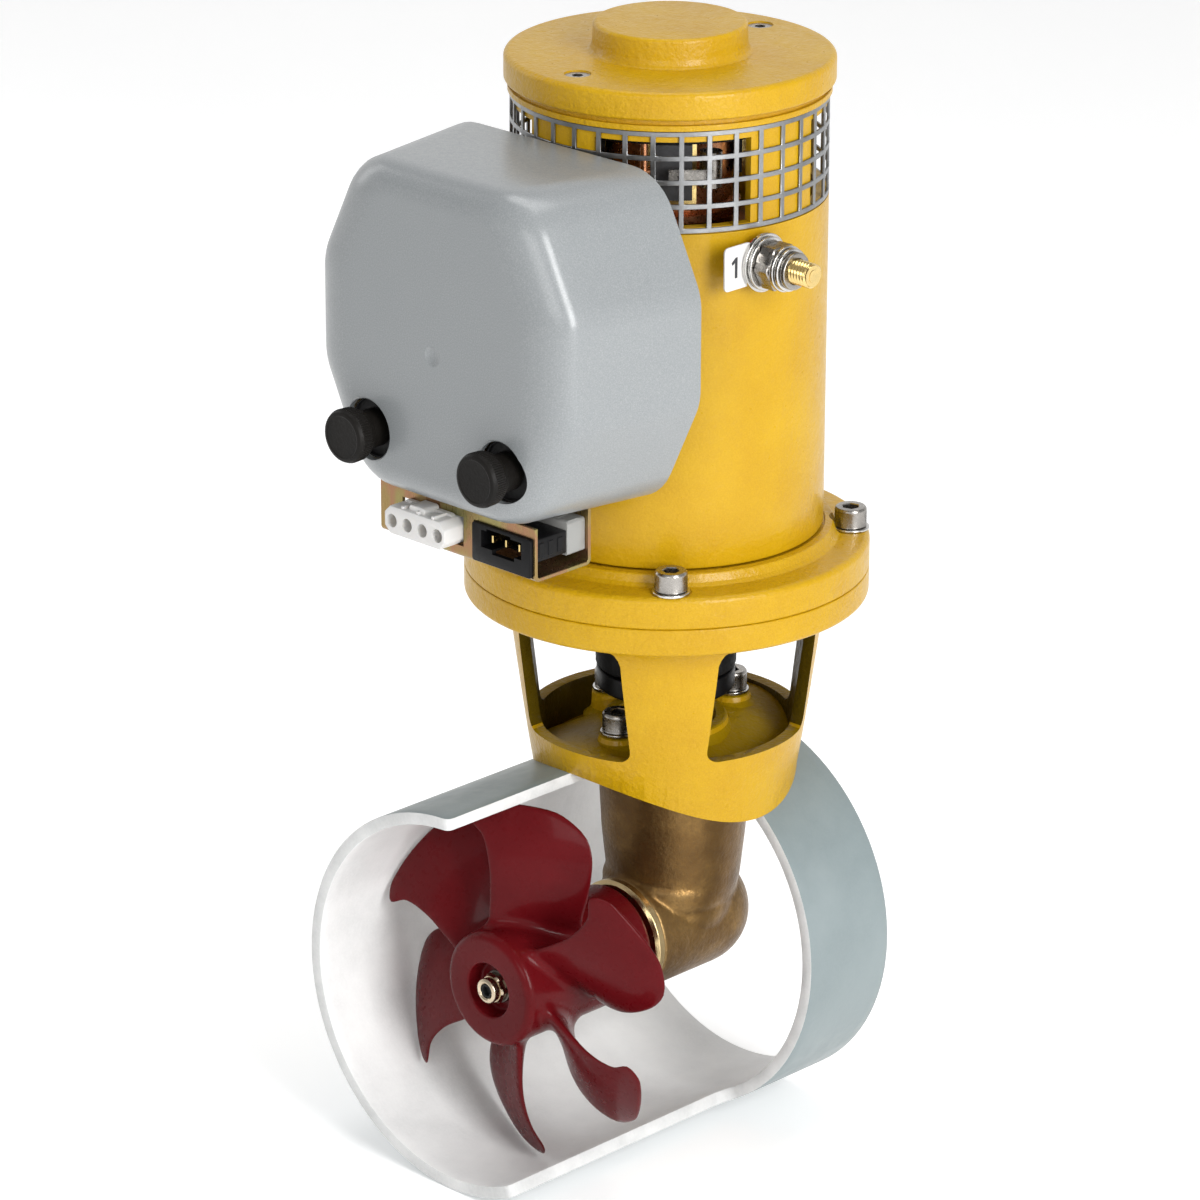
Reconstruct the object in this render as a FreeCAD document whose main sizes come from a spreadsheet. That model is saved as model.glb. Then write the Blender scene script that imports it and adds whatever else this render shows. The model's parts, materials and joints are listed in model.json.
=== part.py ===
import FreeCAD, Part
import math
import os
import sys

V = FreeCAD.Vector

# ---------------------------------------------------------------------------
# Bow thruster: a DC motor on a cast support bracket drives, through a flexible
# coupling and a bevel gear leg, a six-bladed propeller in a cut-away tunnel.
# Frame: origin where the tunnel axis (Y) crosses the motor axis (Z), +Z up,
# propeller and control cover on the -Y side, tunnel window on the +X side.
# Millimetres.
# ---------------------------------------------------------------------------
doc = FreeCAD.newDocument("bow_thruster")
sheet = doc.addObject("Spreadsheet::Sheet", "dims")
DIM = [
    # tunnel
    ("tunnel_ri", 75.0), ("tunnel_ro", 80.0), ("tunnel_front", 123.0), ("tunnel_rear", 48.0),
    ("window_end", 2.0), ("window_low_deg", 64.0),
    # support bracket
    ("flange_rad", 81.2), ("flange_low", 145.5), ("flange_mid", 157.0), ("flange_top", 170.0),
    ("bracket_bore", 45.0), ("bracket_foot_rad", 52.6), ("bracket_top_rad", 62.0),
    ("floor_rad", 89.0), ("rim_z", 90.5), ("window_half", 28.3), ("window_top", 142.5),
    ("boss_z", 92.0), ("bolt_ring", 73.5), ("bolt_rad", 4.0),
    # leg
    ("leg_rad_top", 30.2), ("leg_rad_low", 28.7), ("leg_offset", 3.6), ("barrel_rad", 24.0),
    ("barrel_front", 24.4), ("barrel_back", 15.6), ("barrel_bore", 20.5), ("neck_rad", 19.9),
    ("neck_top", 88.0), ("screw_x", 4.5), ("screw_front_y", 32.0), ("screw_rear_y", 34.0),
    # drive line
    ("shaft_rad", 6.0), ("hub_rad", 23.9), ("hub_front", 101.5), ("hub_rear", 31.0),
    ("tip_rad", 73.0), ("blades", 6), ("recess_rad", 10.5), ("recess_floor", 94.5),
    ("pinion_teeth", 12), ("crown_teeth", 20), ("gear_heel", 20.99),
    # motor
    ("body_rad", 62.5), ("body_bore", 57.5), ("body_low", 175.4), ("body_high", 352.0),
    ("guard_low", 311.6), ("guard_high", 352.0), ("guard_seat", 61.4),
    ("cap_rad", 64.8), ("cap_lip", 63.2), ("cap_low", 357.0), ("cap_top", 367.7),
    ("boss_rad", 30.0), ("boss_top", 379.3), ("core_rad", 41.0), ("commutator_rad", 24.9),
    # terminals
    ("stud_rad", 5.0), ("stud_y", 16.0), ("stud_z", 299.0), ("stud_end", 91.6),
    # cover and relay bracket
    ("cover_front", 130.0), ("cover_back", 63.5), ("cover_half_front", 65.9),
    ("cover_half_back", 78.1), ("cover_top", 342.5), ("cover_low", 211.0), ("cover_wall", 3.0),
    ("corner_x", 21.7), ("corner_top_z", 43.9), ("corner_low_z", 45.5),
    ("corner_round", 23.7), ("front_round", 10.5),
    ("knob_x", 36.2), ("knob_z", 234.5), ("knob_head_rad", 12.0), ("plate_front", 117.0),
    ("plate_back", 86.7), ("plate_low", 188.5), ("plate_half", 42.5), ("sheet_t", 1.5),
]
for i, (key, value) in enumerate(DIM, 1):
    sheet.set("A%d" % i, key)
    sheet.set("B%d" % i, repr(value))
    sheet.setAlias("B%d" % i, key)
doc.recompute()


def d(key):
    return float(sheet.get(key))


class Q:
    """A length bound to a sheet cell: mul * cell + add."""

    def __init__(self, key, mul=1.0, add=0.0):
        self.key, self.mul, self.add = key, mul, add

    def val(self):
        return d(self.key) * self.mul + self.add

    def expr(self):
        return "dims.%s * %.6g + %.6g" % (self.key, self.mul, self.add)


def num(q):
    return q.val() if isinstance(q, Q) else float(q)


def bind(obj, prop, q):
    if isinstance(q, Q):
        obj.setExpression(prop, q.expr())
    else:
        obj.setExpression(prop, "%.6g" % q)


def place(obj, pos, axis=(0, 0, 1), spin=0.0):
    rot = FreeCAD.Rotation(V(0, 0, 1), V(*axis))
    if spin:
        rot = rot.multiply(FreeCAD.Rotation(V(0, 0, 1), spin))
    obj.Placement = FreeCAD.Placement(V(*[num(p) for p in pos]), rot)
    for n, p in zip("xyz", pos):
        if isinstance(p, Q):
            obj.setExpression("Placement.Base." + n, p.expr())
    return obj


count = [0]


def uid(base):
    count[0] += 1
    return "%s_%03d" % (base, count[0])


def cyl(r, h, pos=(0, 0, 0), axis=(0, 0, 1)):
    o = doc.addObject("Part::Cylinder", uid("cyl"))
    bind(o, "Radius", r)
    bind(o, "Height", h)
    return place(o, pos, axis)


def cone(r1, r2, h, pos=(0, 0, 0), axis=(0, 0, 1)):
    o = doc.addObject("Part::Cone", uid("cone"))
    bind(o, "Radius1", r1)
    bind(o, "Radius2", r2)
    bind(o, "Height", h)
    return place(o, pos, axis)


def ball(r, pos=(0, 0, 0)):
    o = doc.addObject("Part::Sphere", uid("ball"))
    bind(o, "Radius", r)
    return place(o, pos)


def box(lx, ly, lz, pos, axis=(0, 0, 1), spin=0.0):
    o = doc.addObject("Part::Box", uid("box"))
    bind(o, "Length", lx)
    bind(o, "Width", ly)
    bind(o, "Height", lz)
    return place(o, pos, axis, spin)


def hexa(af, h, pos, axis=(0, 0, 1)):
    o = doc.addObject("Part::Prism", uid("hex"))
    o.Polygon = 6
    bind(o, "Circumradius", af / math.sqrt(3.0))
    bind(o, "Height", h)
    return place(o, pos, axis)


def fuse(*objs):
    o = doc.addObject("Part::MultiFuse", uid("fuse"))
    o.Shapes = list(objs)
    return o


def cut(base, *tools):
    o = doc.addObject("Part::Cut", uid("cut"))
    o.Base = base
    o.Tool = tools[0] if len(tools) == 1 else fuse(*tools)
    return o


def common(a, b):
    o = doc.addObject("Part::MultiCommon", uid("common"))
    o.Shapes = [a, b]
    return o


def group(*objs):
    o = doc.addObject("Part::Compound", uid("group"))
    o.Links = list(objs)
    return o


def ring(ro, ri, h, pos, axis=(0, 0, 1)):
    a = V(*axis)
    p = [num(x) for x in pos]
    q = tuple(p[k] - a[k] for k in range(3))
    return cut(cyl(ro, h, tuple(p), axis), cyl(ri, num(h) + 2.0, q, axis))


def turned(obj, deg, about=(0, 0, 1)):
    """Polar copy of a document object about an axis through the origin."""
    o = doc.addObject("Part::Feature", uid("turned"))
    doc.recompute()
    s = obj.Shape.copy()
    s.rotate(V(0, 0, 0), V(*about), deg)
    o.Shape = s
    return o


def feature(shape):
    o = doc.addObject("Part::Feature", uid("shape"))
    o.Shape = shape
    return o


def role_plane(body, role):
    return [f for f in body.Origin.OriginFeatures if f.Role == role][0]


def sketch_on(body, role, offset=0.0):
    sk = body.newObject("Sketcher::SketchObject", uid("sketch"))
    sk.AttachmentSupport = [(role_plane(body, role), "")]
    sk.MapMode = "FlatFace"
    if isinstance(offset, Q):
        sk.AttachmentOffset = FreeCAD.Placement(V(0, 0, offset.val()), FreeCAD.Rotation())
        sk.setExpression("AttachmentOffset.Base.z", offset.expr())
    elif offset:
        sk.AttachmentOffset = FreeCAD.Placement(V(0, 0, offset), FreeCAD.Rotation())
    return sk


def poly(sk, pts):
    """Closed polygon, every vertex held from the sketch origin."""
    import Sketcher
    n = len(pts)
    xy = [(num(a), num(b)) for a, b in pts]
    first = sk.GeometryCount
    for i in range(n):
        a, b = xy[i], xy[(i + 1) % n]
        sk.addGeometry(Part.LineSegment(V(a[0], a[1], 0), V(b[0], b[1], 0)), False)
    for i in range(n):
        sk.addConstraint(Sketcher.Constraint("Coincident", first + i, 2, first + (i + 1) % n, 1))
    for i in range(n):
        for kind, q, axis in (("DistanceX", pts[i][0], -2), ("DistanceY", pts[i][1], -1)):
            if abs(num(q)) < 1e-9:
                sk.addConstraint(Sketcher.Constraint("PointOnObject", first + i, 1, axis))
                continue
            c = sk.addConstraint(Sketcher.Constraint(kind, -1, 1, first + i, 1, num(q)))
            if isinstance(q, Q):
                sk.setExpression("Constraints[%d]" % c, q.expr())
    return sk


def circle(sk, cx, cy, r):
    import Sketcher
    g = sk.addGeometry(Part.Circle(V(num(cx), num(cy), 0), V(0, 0, 1), num(r)), False)
    for kind, q, axis in (("DistanceX", cx, -2), ("DistanceY", cy, -1)):
        if abs(num(q)) < 1e-9:
            sk.addConstraint(Sketcher.Constraint("PointOnObject", g, 3, axis))
            continue
        c = sk.addConstraint(Sketcher.Constraint(kind, -1, 1, g, 3, num(q)))
        if isinstance(q, Q):
            sk.setExpression("Constraints[%d]" % c, q.expr())
    c = sk.addConstraint(Sketcher.Constraint("Radius", g, num(r)))
    if isinstance(r, Q):
        sk.setExpression("Constraints[%d]" % c, r.expr())
    return sk


def revolve(pts, about="z"):
    """Body turned about Z (profile r,z) or about Y (profile r,y)."""
    body = doc.addObject("PartDesign::Body", uid("body"))
    sk = sketch_on(body, "XZ_Plane" if about == "z" else "XY_Plane")
    poly(sk, pts)
    rev = body.newObject("PartDesign::Revolution", uid("rev"))
    rev.Profile = sk
    rev.ReferenceAxis = (sk, ["V_Axis"])
    rev.Angle = 360.0
    return body


def pocket(body, role, offset, draw, length, flip):
    """Pocket that must remove material."""
    doc.recompute()
    before = body.Shape.Volume
    sk = sketch_on(body, role, offset)
    draw(sk)
    pk = body.newObject("PartDesign::Pocket", uid("pocket"))
    pk.Profile = sk
    pk.Type = 0
    bind(pk, "Length", length)
    pk.Reversed = flip
    doc.recompute()
    if body.Shape.Volume > before - 1.0:
        raise RuntimeError("pocket cut nothing: " + pk.Name)
    return pk


NODES = []


def node(label, obj):
    obj.Label = label
    NODES.append((label, obj))
    return obj


def arc_block(ri, ro, half_deg, z0, z1, az):
    """Solid sector between two radii about Z, centred on azimuth az."""
    a0, a1 = math.radians(az - half_deg), math.radians(az + half_deg)
    am = math.radians(az)

    def p(r, a):
        return V(r * math.cos(a), r * math.sin(a), z0)
    edges = [Part.Arc(p(ri, a0), p(ri, am), p(ri, a1)).toShape(),
             Part.LineSegment(p(ri, a1), p(ro, a1)).toShape(),
             Part.Arc(p(ro, a1), p(ro, am), p(ro, a0)).toShape(),
             Part.LineSegment(p(ro, a0), p(ri, a0)).toShape()]
    return Part.Face(Part.Wire(edges)).extrude(V(0, 0, z1 - z0))


# ------------------------------------------------------------------ tunnel
body = doc.addObject("PartDesign::Body", "tunnel_body")
sk = sketch_on(body, "XZ_Plane", Q("tunnel_rear", -1))
circle(sk, 0, 0, Q("tunnel_ro"))
circle(sk, 0, 0, Q("tunnel_ri"))
pad = body.newObject("PartDesign::Pad", "tunnel_pad")
pad.Profile = sk
pad.setExpression("Length", "dims.tunnel_rear + dims.tunnel_front")
doc.recompute()
low = math.radians(d("window_low_deg"))
far = 150.0
pocket(body, "XZ_Plane", Q("window_end", -1),
       lambda s: poly(s, [(0, 0), (0, 120), (far, 120), (far, -far * math.sin(low)),
                          (far * math.cos(low), -far * math.sin(low))]), 130.0, True)
pocket(body, "XY_Plane", 55.0, lambda s: circle(s, 0, 0, Q("neck_rad", 1, 1.6)), 40.0, True)
for sy in (-1, 1):
    yy = Q("screw_front_y", -1) if sy < 0 else Q("screw_rear_y")
    if sy > 0:
        pocket(body, "XY_Plane", 55.0, lambda s: circle(s, Q("screw_x"), yy, 4.4), 40.0, True)
pocket(body, "XY_Plane", 55.0, lambda s: circle(s, -32.0, 1.0, 4.4), 40.0, True)
node("tunnel", body)

# --------------------------------------------------------- support bracket
outer = revolve([(0, 58), (Q("bracket_foot_rad"), 58), (53.6, 71), (56.3, 88), (58.6, 104),
                 (Q("bracket_top_rad"), 126), (62.8, 133), (64.2, 138.5), (67, 142.6), (71.5, 144.9),
                 (76, Q("flange_low")), (Q("flange_rad", 1, -1), Q("flange_low")),
                 (Q("flange_rad"), Q("flange_low", 1, 1)), (Q("flange_rad"), Q("flange_mid")),
                 (0, Q("flange_mid"))])
hollow = revolve([(0, 60), (48.2, 60), (49.6, 75), (51.2, 88), (53.4, 104), (56.6, 126), (57.2, 138),
                  (55.6, 143), (51, 145.2), (Q("bracket_bore"), 146.5),
                  (Q("bracket_bore"), Q("flange_mid", 1, 1)), (0, Q("flange_mid", 1, 1))])
dome = cyl(Q("floor_rad"), 200, (0, 100, 0), (0, -1, 0))
cavity = cut(hollow, dome)


def window_tool(along):
    # straight core for two opposite windows, bottom and top corners rounded
    half, z0, z1 = d("window_half"), d("rim_z"), d("window_top")
    r0, r1 = 6.0, 9.0
    base = Part.makeBox(200, 2 * half, z1 - z0, V(-100, -half, z0))
    lows, highs = [], []
    for e in base.Edges:
        a, b = e.Vertexes[0].Point, e.Vertexes[-1].Point
        if abs(a.x - b.x) > 150:
            (lows if a.z < z0 + 1 else highs).append(e)
    s = base.makeFillet(r0, lows)
    highs = [e for e in s.Edges if abs(e.Vertexes[0].Point.x - e.Vertexes[-1].Point.x) > 150
             and e.Vertexes[0].Point.z > z1 - 1e-3 and abs(abs(e.Vertexes[0].Point.y) - half) < 1e-3]
    s = s.makeFillet(r1, highs)
    if along == "y":
        s.rotate(V(0, 0, 0), V(0, 0, 1), 90)
    return feature(s)


shell = cut(outer, cavity, window_tool("x"), window_tool("y"))
bosses = [cyl(7.4, 42, (Q("screw_x"), Q("screw_front_y", -1), 50)),
          cyl(7.4, 42, (Q("screw_x"), Q("screw_rear_y"), 50)),
          cyl(7.4, 42, (-32.0, 1.0, 50)),
          cyl(25.4, 40.5, (0, 0, 50))]
body2 = fuse(shell, *bosses)
holes = [cyl(Q("tunnel_ro"), 200, (0, 100, 0), (0, -1, 0)),
         cyl(Q("neck_rad", 1, 0.1), 60, (0, 0, 40)),
         cyl(4.4, 60, (Q("screw_x"), Q("screw_front_y", -1), 40)),
         cyl(4.4, 60, (Q("screw_x"), Q("screw_rear_y"), 40)),
         cyl(4.4, 60, (-32.0, 1.0, 40))]
c45 = math.cos(math.radians(45))
for sx in (-1, 1):
    for sy in (-1, 1):
        holes.append(cyl(4.3, 30, (Q("bolt_ring", sx * c45), Q("bolt_ring", sy * c45), 135)))
node("support_bracket", cut(body2, *holes))

# ------------------------------------------------------------ leg housing
stem = revolve([(0, 0), (20, 4), (25.2, 12), (27.6, 18), (Q("leg_rad_low"), 25),
                (Q("leg_rad_top"), 68), (32, 71), (37, 74), (40, 79.5), (40, 86), (0, 86)])
stem.Placement = FreeCAD.Placement(V(0, d("leg_offset"), 0), FreeCAD.Rotation())
stem.setExpression("Placement.Base.y", "dims.leg_offset")
inside = cyl(Q("tunnel_ri"), 200, (0, 100, 0), (0, -1, 0))
stem_in = common(stem, inside)
neck = cyl(Q("neck_rad"), Q("neck_top", 1, -40), (0, 0, 40))
barrel = cyl(Q("barrel_rad"), Q("barrel_front", 1, 15.6), (0, Q("barrel_back"), 0), (0, -1, 0))
tail = ball(Q("barrel_rad"), (0, Q("barrel_back"), 0))
leg_body = fuse(stem_in, neck, barrel, tail)
leg_cuts = [cyl(Q("barrel_bore"), Q("barrel_front", 1, 20.4), (0, 19.4, 0), (0, -1, 0)),
            cyl(13.0, 30, (0, 27, 0), (0, -1, 0)),
            cyl(16.0, 40, (0, 0, 60)), cyl(13.6, 40, (0, 0, 30)), cyl(16.0, 10, (0, 0, 28)),
            cyl(14.6, 30, (0, 0, 0)),
            cyl(3.4, 40, (Q("screw_x"), Q("screw_front_y", -1), 60)),
            cyl(3.4, 40, (Q("screw_x"), Q("screw_rear_y"), 60)),
            cyl(3.4, 40, (-32.0, 1.0, 60)),
            cyl(40, 60, (0, Q("barrel_front", -1), 0), (0, -1, 0))]
node("leg_housing", cut(leg_body, *leg_cuts))


def socket_screw(head_r, head_h, shank_r, length, af, top, x, y):
    """Cap screw along Z, head top at z=top."""
    head = cyl(head_r, head_h, (x, y, Q(top[0], 1, top[1] - head_h)))
    shank = cyl(shank_r, length, (x, y, Q(top[0], 1, top[1] - head_h - length)))
    sock = hexa(af, head_h * 0.6 + 1.0, (x, y, Q(top[0], 1, top[1] - head_h * 0.6)))
    return cut(fuse(head, shank), sock)


def washer(ro, ri, t, x, y, zlow):
    return cut(cyl(ro, t, (x, y, zlow)), cyl(ri, t + 2, (x, y, Q(zlow.key, 1, zlow.add - 1))))


leg_xy = [(Q("screw_x"), Q("screw_front_y", -1)), (Q("screw_x"), Q("screw_rear_y")), (-32.0, 1.0)]
items = []
for x, y in leg_xy:
    items.append(socket_screw(6.5, 8.0, 3.3, 22.0, 6.0, ("boss_z", 9.6), x, y))
    items.append(washer(7.3, 3.6, 1.6, x, y, Q("boss_z")))
node("leg_screws", group(*items))

# bearings and seals of the leg
node("input_bearings", group(ring(16.0, Q("shaft_rad", 1, 0.04), 10, (0, 0, 28)),
                             ring(16.0, Q("shaft_rad", 1, 0.04), 10, (0, 0, 64))))
node("shaft_seals", group(ring(16.0, Q("shaft_rad", 1, 0.05), 7, (0, 0, 78)),
                          ring(12.0, Q("shaft_rad", 1, 0.05), 3.6, (0, -24.6, 0), (0, -1, 0))))

# front cap ring of the gear housing
cap_prof = [(12.0, -28.4), (22.6, -28.4), (24.0, -27.2), (Q("barrel_rad"), Q("barrel_front", -1)),
            (Q("barrel_bore", 1, -0.02), Q("barrel_front", -1)), (Q("barrel_bore", 1, -0.02), -15.4),
            (13.0, -15.4), (13.0, -24.0), (12.0, -24.6)]
node("gear_cap", revolve(cap_prof, "y"))
node("propeller_bearings", group(ring(13.0, Q("shaft_rad", 1, 0.04), 8, (0, -15.8, 0), (0, -1, 0)),
                                 ring(13.0, Q("shaft_rad", 1, 0.04), 7, (0, 26.6, 0), (0, -1, 0))))

# ------------------------------------------------------------- drive line
RC = d("gear_heel")
KT = 0.70                                    # toe scale towards the apex
n1, n2 = int(d("pinion_teeth")), int(d("crown_teeth"))
delta1 = math.atan2(n1, n2)
delta2 = math.pi / 2 - delta1


def sph(rc, delta, phi, e1, e2, ax):
    return (e1 * (math.sin(delta) * math.cos(phi)) + e2 * (math.sin(delta) * math.sin(phi))
            + ax * math.cos(delta)) * rc


def bevel_teeth(n, delta, phase, e1, e2, ax, thin):
    add, ded = 3.3, 4.9                      # degrees above and below the pitch cone
    r_pitch = RC * math.sin(delta)
    half = math.pi * r_pitch / n / 2 - thin
    da, dr = delta + math.radians(add), delta - math.radians(ded)
    tip_half = (half - 0.45) / (RC * math.sin(da))
    root_half = (half + 0.62) / (RC * math.sin(dr))
    solids = []
    for k in range(n):
        c = phase + 2 * math.pi * k / n
        quads = []
        for sc in (1.0, KT):
            quads.append([sph(RC * sc, dr, c - root_half, e1, e2, ax), sph(RC * sc, dr, c + root_half, e1, e2, ax),
                          sph(RC * sc, da, c + tip_half, e1, e2, ax), sph(RC * sc, da, c - tip_half, e1, e2, ax)])
        faces = []
        for q, flip in ((quads[0], False), (quads[1], True)):
            w = Part.makePolygon(q + [q[0]])
            faces.append(Part.Face(w))
        for i in range(4):
            j = (i + 1) % 4
            a, b, c2, d2 = quads[0][i], quads[0][j], quads[1][j], quads[1][i]
            faces.append(Part.Face(Part.makePolygon([a, b, c2, d2, a])))
        shell = Part.makeShell(faces)
        s = Part.makeSolid(shell)
        if s.Volume < 0:
            s = s.reversed()
        solids.append(s)
    return solids


def bevel_gear(n, delta, phase, e1, e2, ax, thin, bore, hub_r, hub_to):
    """Straight-toothed bevel gear, apex at the origin, axis ax."""
    dr = delta - math.radians(4.2)
    r1, r0 = RC * math.sin(dr), RC * KT * 0.98 * math.sin(dr)
    a1, a0 = RC * math.cos(dr), RC * KT * 0.98 * math.cos(dr)
    blank = Part.makeCone(r0, r1, a1 - a0, ax * a0, ax)
    back = Part.makeCone(r1, hub_r, hub_to - a1, ax * a1, ax)
    s = blank.fuse(back)
    for tooth in bevel_teeth(n, delta, phase, e1, e2, ax, thin):
        s = s.fuse(tooth)
    s = s.cut(Part.makeCylinder(bore, 80, ax * -20, ax))
    return s.removeSplitter()


# the pinion has a gap over +Y, the crown wheel a tooth at +Z, in mesh there
pin_shape = bevel_gear(n1, delta1, math.pi / 2 + math.pi / n1, V(1, 0, 0), V(0, 1, 0), V(0, 0, 1), 0.16,
                       d("shaft_rad") - 0.5, 10.0, 27.0)
node("pinion", feature(pin_shape))
crown_shape = bevel_gear(n2, delta2, math.pi / 2, V(1, 0, 0), V(0, 0, 1), V(0, 1, 0), 0.16,
                         d("shaft_rad"), 13.5, 18.6)
node("crown_gear", feature(crown_shape))
node("input_shaft", revolve([(0, 11.6), (5.5, 11.6), (5.5, 27.4), (Q("shaft_rad"), 27.4), (Q("shaft_rad"), 116),
                             (5.4, 117), (0, 117)]))
node("propeller_shaft", revolve([(0, 26.4), (5.4, 26.4), (Q("shaft_rad"), 25.8), (Q("shaft_rad"), -92),
                                 (3.6, -93.2), (3.6, -103.4), (3.0, -104.2), (0, -104.2)], "y"))


def lerp_table(xs, ys, x):
    for k in range(len(xs) - 1):
        if x <= xs[k + 1] or k == len(xs) - 2:
            w = (x - xs[k]) / (xs[k + 1] - xs[k])
            return ys[k] + (ys[k + 1] - ys[k]) * w


def blade_shape():
    """One propeller blade at azimuth 0 (about +X), lofted through helical sections.

    lead and trail are the reach of the section along the turn, either side of
    the blade's own azimuth; the pitch gives the height of each point along y.
    """
    hub, tip = d("hub_rad"), d("tip_rad")
    frac = [0.0, 0.25, 0.5, 0.75, 0.92, 1.0]
    lead = [5.0, 4.0, 6.5, 11.0, 17.0, 16.0]
    trail = [18.0, 16.0, 25.0, 34.0, 31.0, 26.0]
    rows = []
    for u in (-0.13, 0.02, 0.18, 0.34, 0.5, 0.66, 0.8, 0.92, 1.0):
        r = hub + (tip - hub) * u
        uu = max(u, 0.0)
        le, tr = lerp_table(frac, lead, uu), lerp_table(frac, trail, uu)
        if u < 0:
            le, tr = 4.0, 13.0
        p2 = (200.0 - 35.0 * uu) / (2 * math.pi)
        yref = -93.2 + 11.5 * uu
        thick = 5.4 - 3.4 * uu
        am = (le - tr) / 2 / r
        half_w = (le + tr) / 2
        phi = math.atan2(p2, r)
        pts = []
        m = 20
        for i in range(m):
            t = 2 * math.pi * i / m
            tau = -half_w * math.cos(t)
            nrm = thick / 2 * math.sin(t)
            q = tau + nrm * math.sin(phi)
            y = yref - p2 * (am + tau / r) + nrm * math.cos(phi)
            pts.append(V(r * math.cos(am) - q * math.sin(am), y, r * math.sin(am) + q * math.cos(am)))
        rows.append(pts)
    grid = [[row[k % len(row)] for row in rows] for k in range(len(rows[0]) + 1)]
    skin = Part.BSplineSurface()
    skin.interpolate(grid)
    side = skin.toShape()
    caps = []
    for e in side.Edges:
        if e.isClosed() or (e.Vertexes[0].Point - e.Vertexes[-1].Point).Length < 1e-6:
            caps.append(Part.Face(Part.Wire([e])))
    shell = Part.Shell([side] + caps)
    shell.sewShape()
    return Part.Solid(shell)


hub_prof = [(Q("shaft_rad", 1, 0.0), Q("hub_rear", -1)), (21.5, Q("hub_rear", -1)), (Q("hub_rad"), -33.4),
            (Q("hub_rad"), -96.5), (23.2, -99.2), (21.6, -100.9), (19.2, Q("hub_front", -1)),
            (Q("recess_rad", 1, 1.0), Q("hub_front", -1)), (Q("recess_rad"), -100.5),
            (Q("recess_rad"), Q("recess_floor", -1)), (Q("shaft_rad", 1, 0.0), Q("recess_floor", -1))]
hub = revolve(hub_prof, "y")
doc.recompute()
blade = blade_shape()
keep_out = Part.makeCylinder(d("tip_rad"), 120, V(0, -20, 0), V(0, -1, 0))
if blade.Volume < 0:
    blade = blade.reversed()
blade = blade.common(keep_out)
if not blade.isValid() or blade.Volume < 3000 or blade.Volume > 20000:
    raise RuntimeError("blade volume %.0f" % blade.Volume)
wheel = hub.Shape.copy()
nb = int(d("blades"))
for k in range(nb):
    b = blade.copy()
    b.rotate(V(0, 0, 0), V(0, -1, 0), 37.0 + 360.0 / nb * k)
    wheel = wheel.fuse(b)
slot = Part.makeBox(31, 8, 5.2, V(-15.5, -38.8, -2.6))
bore = Part.makeCylinder(d("shaft_rad"), 140, V(0, 20, 0), V(0, -1, 0))
wheel = wheel.cut(slot).cut(bore)
wheel = wheel.cut(Part.makeCylinder(d("recess_rad"), 40, V(0, -d("recess_floor"), 0), V(0, -1, 0)))
node("propeller", feature(wheel.removeSplitter()))
node("drive_pin", cyl(2.4, 30, (-15, -36.2, 0), (1, 0, 0)))
doc.recompute()
shaft_obj = [o for n, o in NODES if n == "propeller_shaft"][0]
pin_hole = cyl(2.4, 30, (-15, -36.2, 0), (1, 0, 0))
NODES[:] = [(n, o) for n, o in NODES if n != "propeller_shaft"]
shaft_obj.Label = "propeller_shaft_blank"
node("propeller_shaft", cut(shaft_obj, pin_hole))
nut = cut(fuse(hexa(11.0, 5.6, (0, Q("recess_floor", -1, -1.8), 0), (0, -1, 0)),
               cyl(5.0, 1.6, (0, Q("recess_floor", -1, -7.4), 0), (0, -1, 0))),
          cyl(3.6, 20, (0, -90, 0), (0, -1, 0)))
node("propeller_nut", group(nut, ring(7.0, 3.65, 1.8, (0, -d("recess_floor"), 0), (0, -1, 0))))

# -------------------------------------------------------- flexible coupling
node("coupling_lower", cut(fuse(cyl(28.0, 9, (0, 0, 103.5)), cyl(14.0, 16, (0, 0, 103.5))),
                           cyl(Q("shaft_rad"), 30, (0, 0, 98))))
node("coupling_spider", ring(28.6, 15.0, 25.5, (0, 0, 112.5)))
node("coupling_upper", cut(fuse(cyl(28.0, 9, (0, 0, 138)), cyl(14.0, 17, (0, 0, 130))),
                           cyl(7.5, 40, (0, 0, 120))))

# ------------------------------------------------------------------- motor
node("motor_flange", cut(
    revolve([(9.4, 152), (Q("bracket_bore", 1, -0.1), 152), (Q("bracket_bore", 1, -0.1), Q("flange_mid")),
             (Q("flange_rad"), Q("flange_mid")), (Q("flange_rad"), Q("flange_top", 1, -1.6)),
             (Q("flange_rad", 1, -1.6), Q("flange_top")), (69.6, Q("flange_top")), (67.6, 171.4),
             (66.4, 173.6), (65.2, Q("body_low")), (Q("body_bore", 1, -0.1), Q("body_low")),
             (Q("body_bore", 1, -0.1), 179.4), (51, 179.4), (49, 171), (17.5, 169.4), (17.5, 158), (9.4, 158)]),
    *([cyl(3.5, 40, (Q("bolt_ring", sx * c45), Q("bolt_ring", sy * c45), 145)) for sx in (-1, 1) for sy in (-1, 1)]
      + [cyl(8.2, 20, (Q("bolt_ring", sx * c45), Q("bolt_ring", sy * c45), Q("flange_top"))) for sx in (-1, 1) for sy in (-1, 1)])))
bolts = []
for sx in (-1, 1):
    for sy in (-1, 1):
        x, y = Q("bolt_ring", sx * c45), Q("bolt_ring", sy * c45)
        bolts.append(socket_screw(6.5, 8.0, 3.4, 26.0, 6.0, ("flange_top", 9.4), x, y))
        bolts.append(washer(7.6, 3.6, 1.4, x, y, Q("flange_top")))
node("flange_bolts", group(*bolts))

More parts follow.
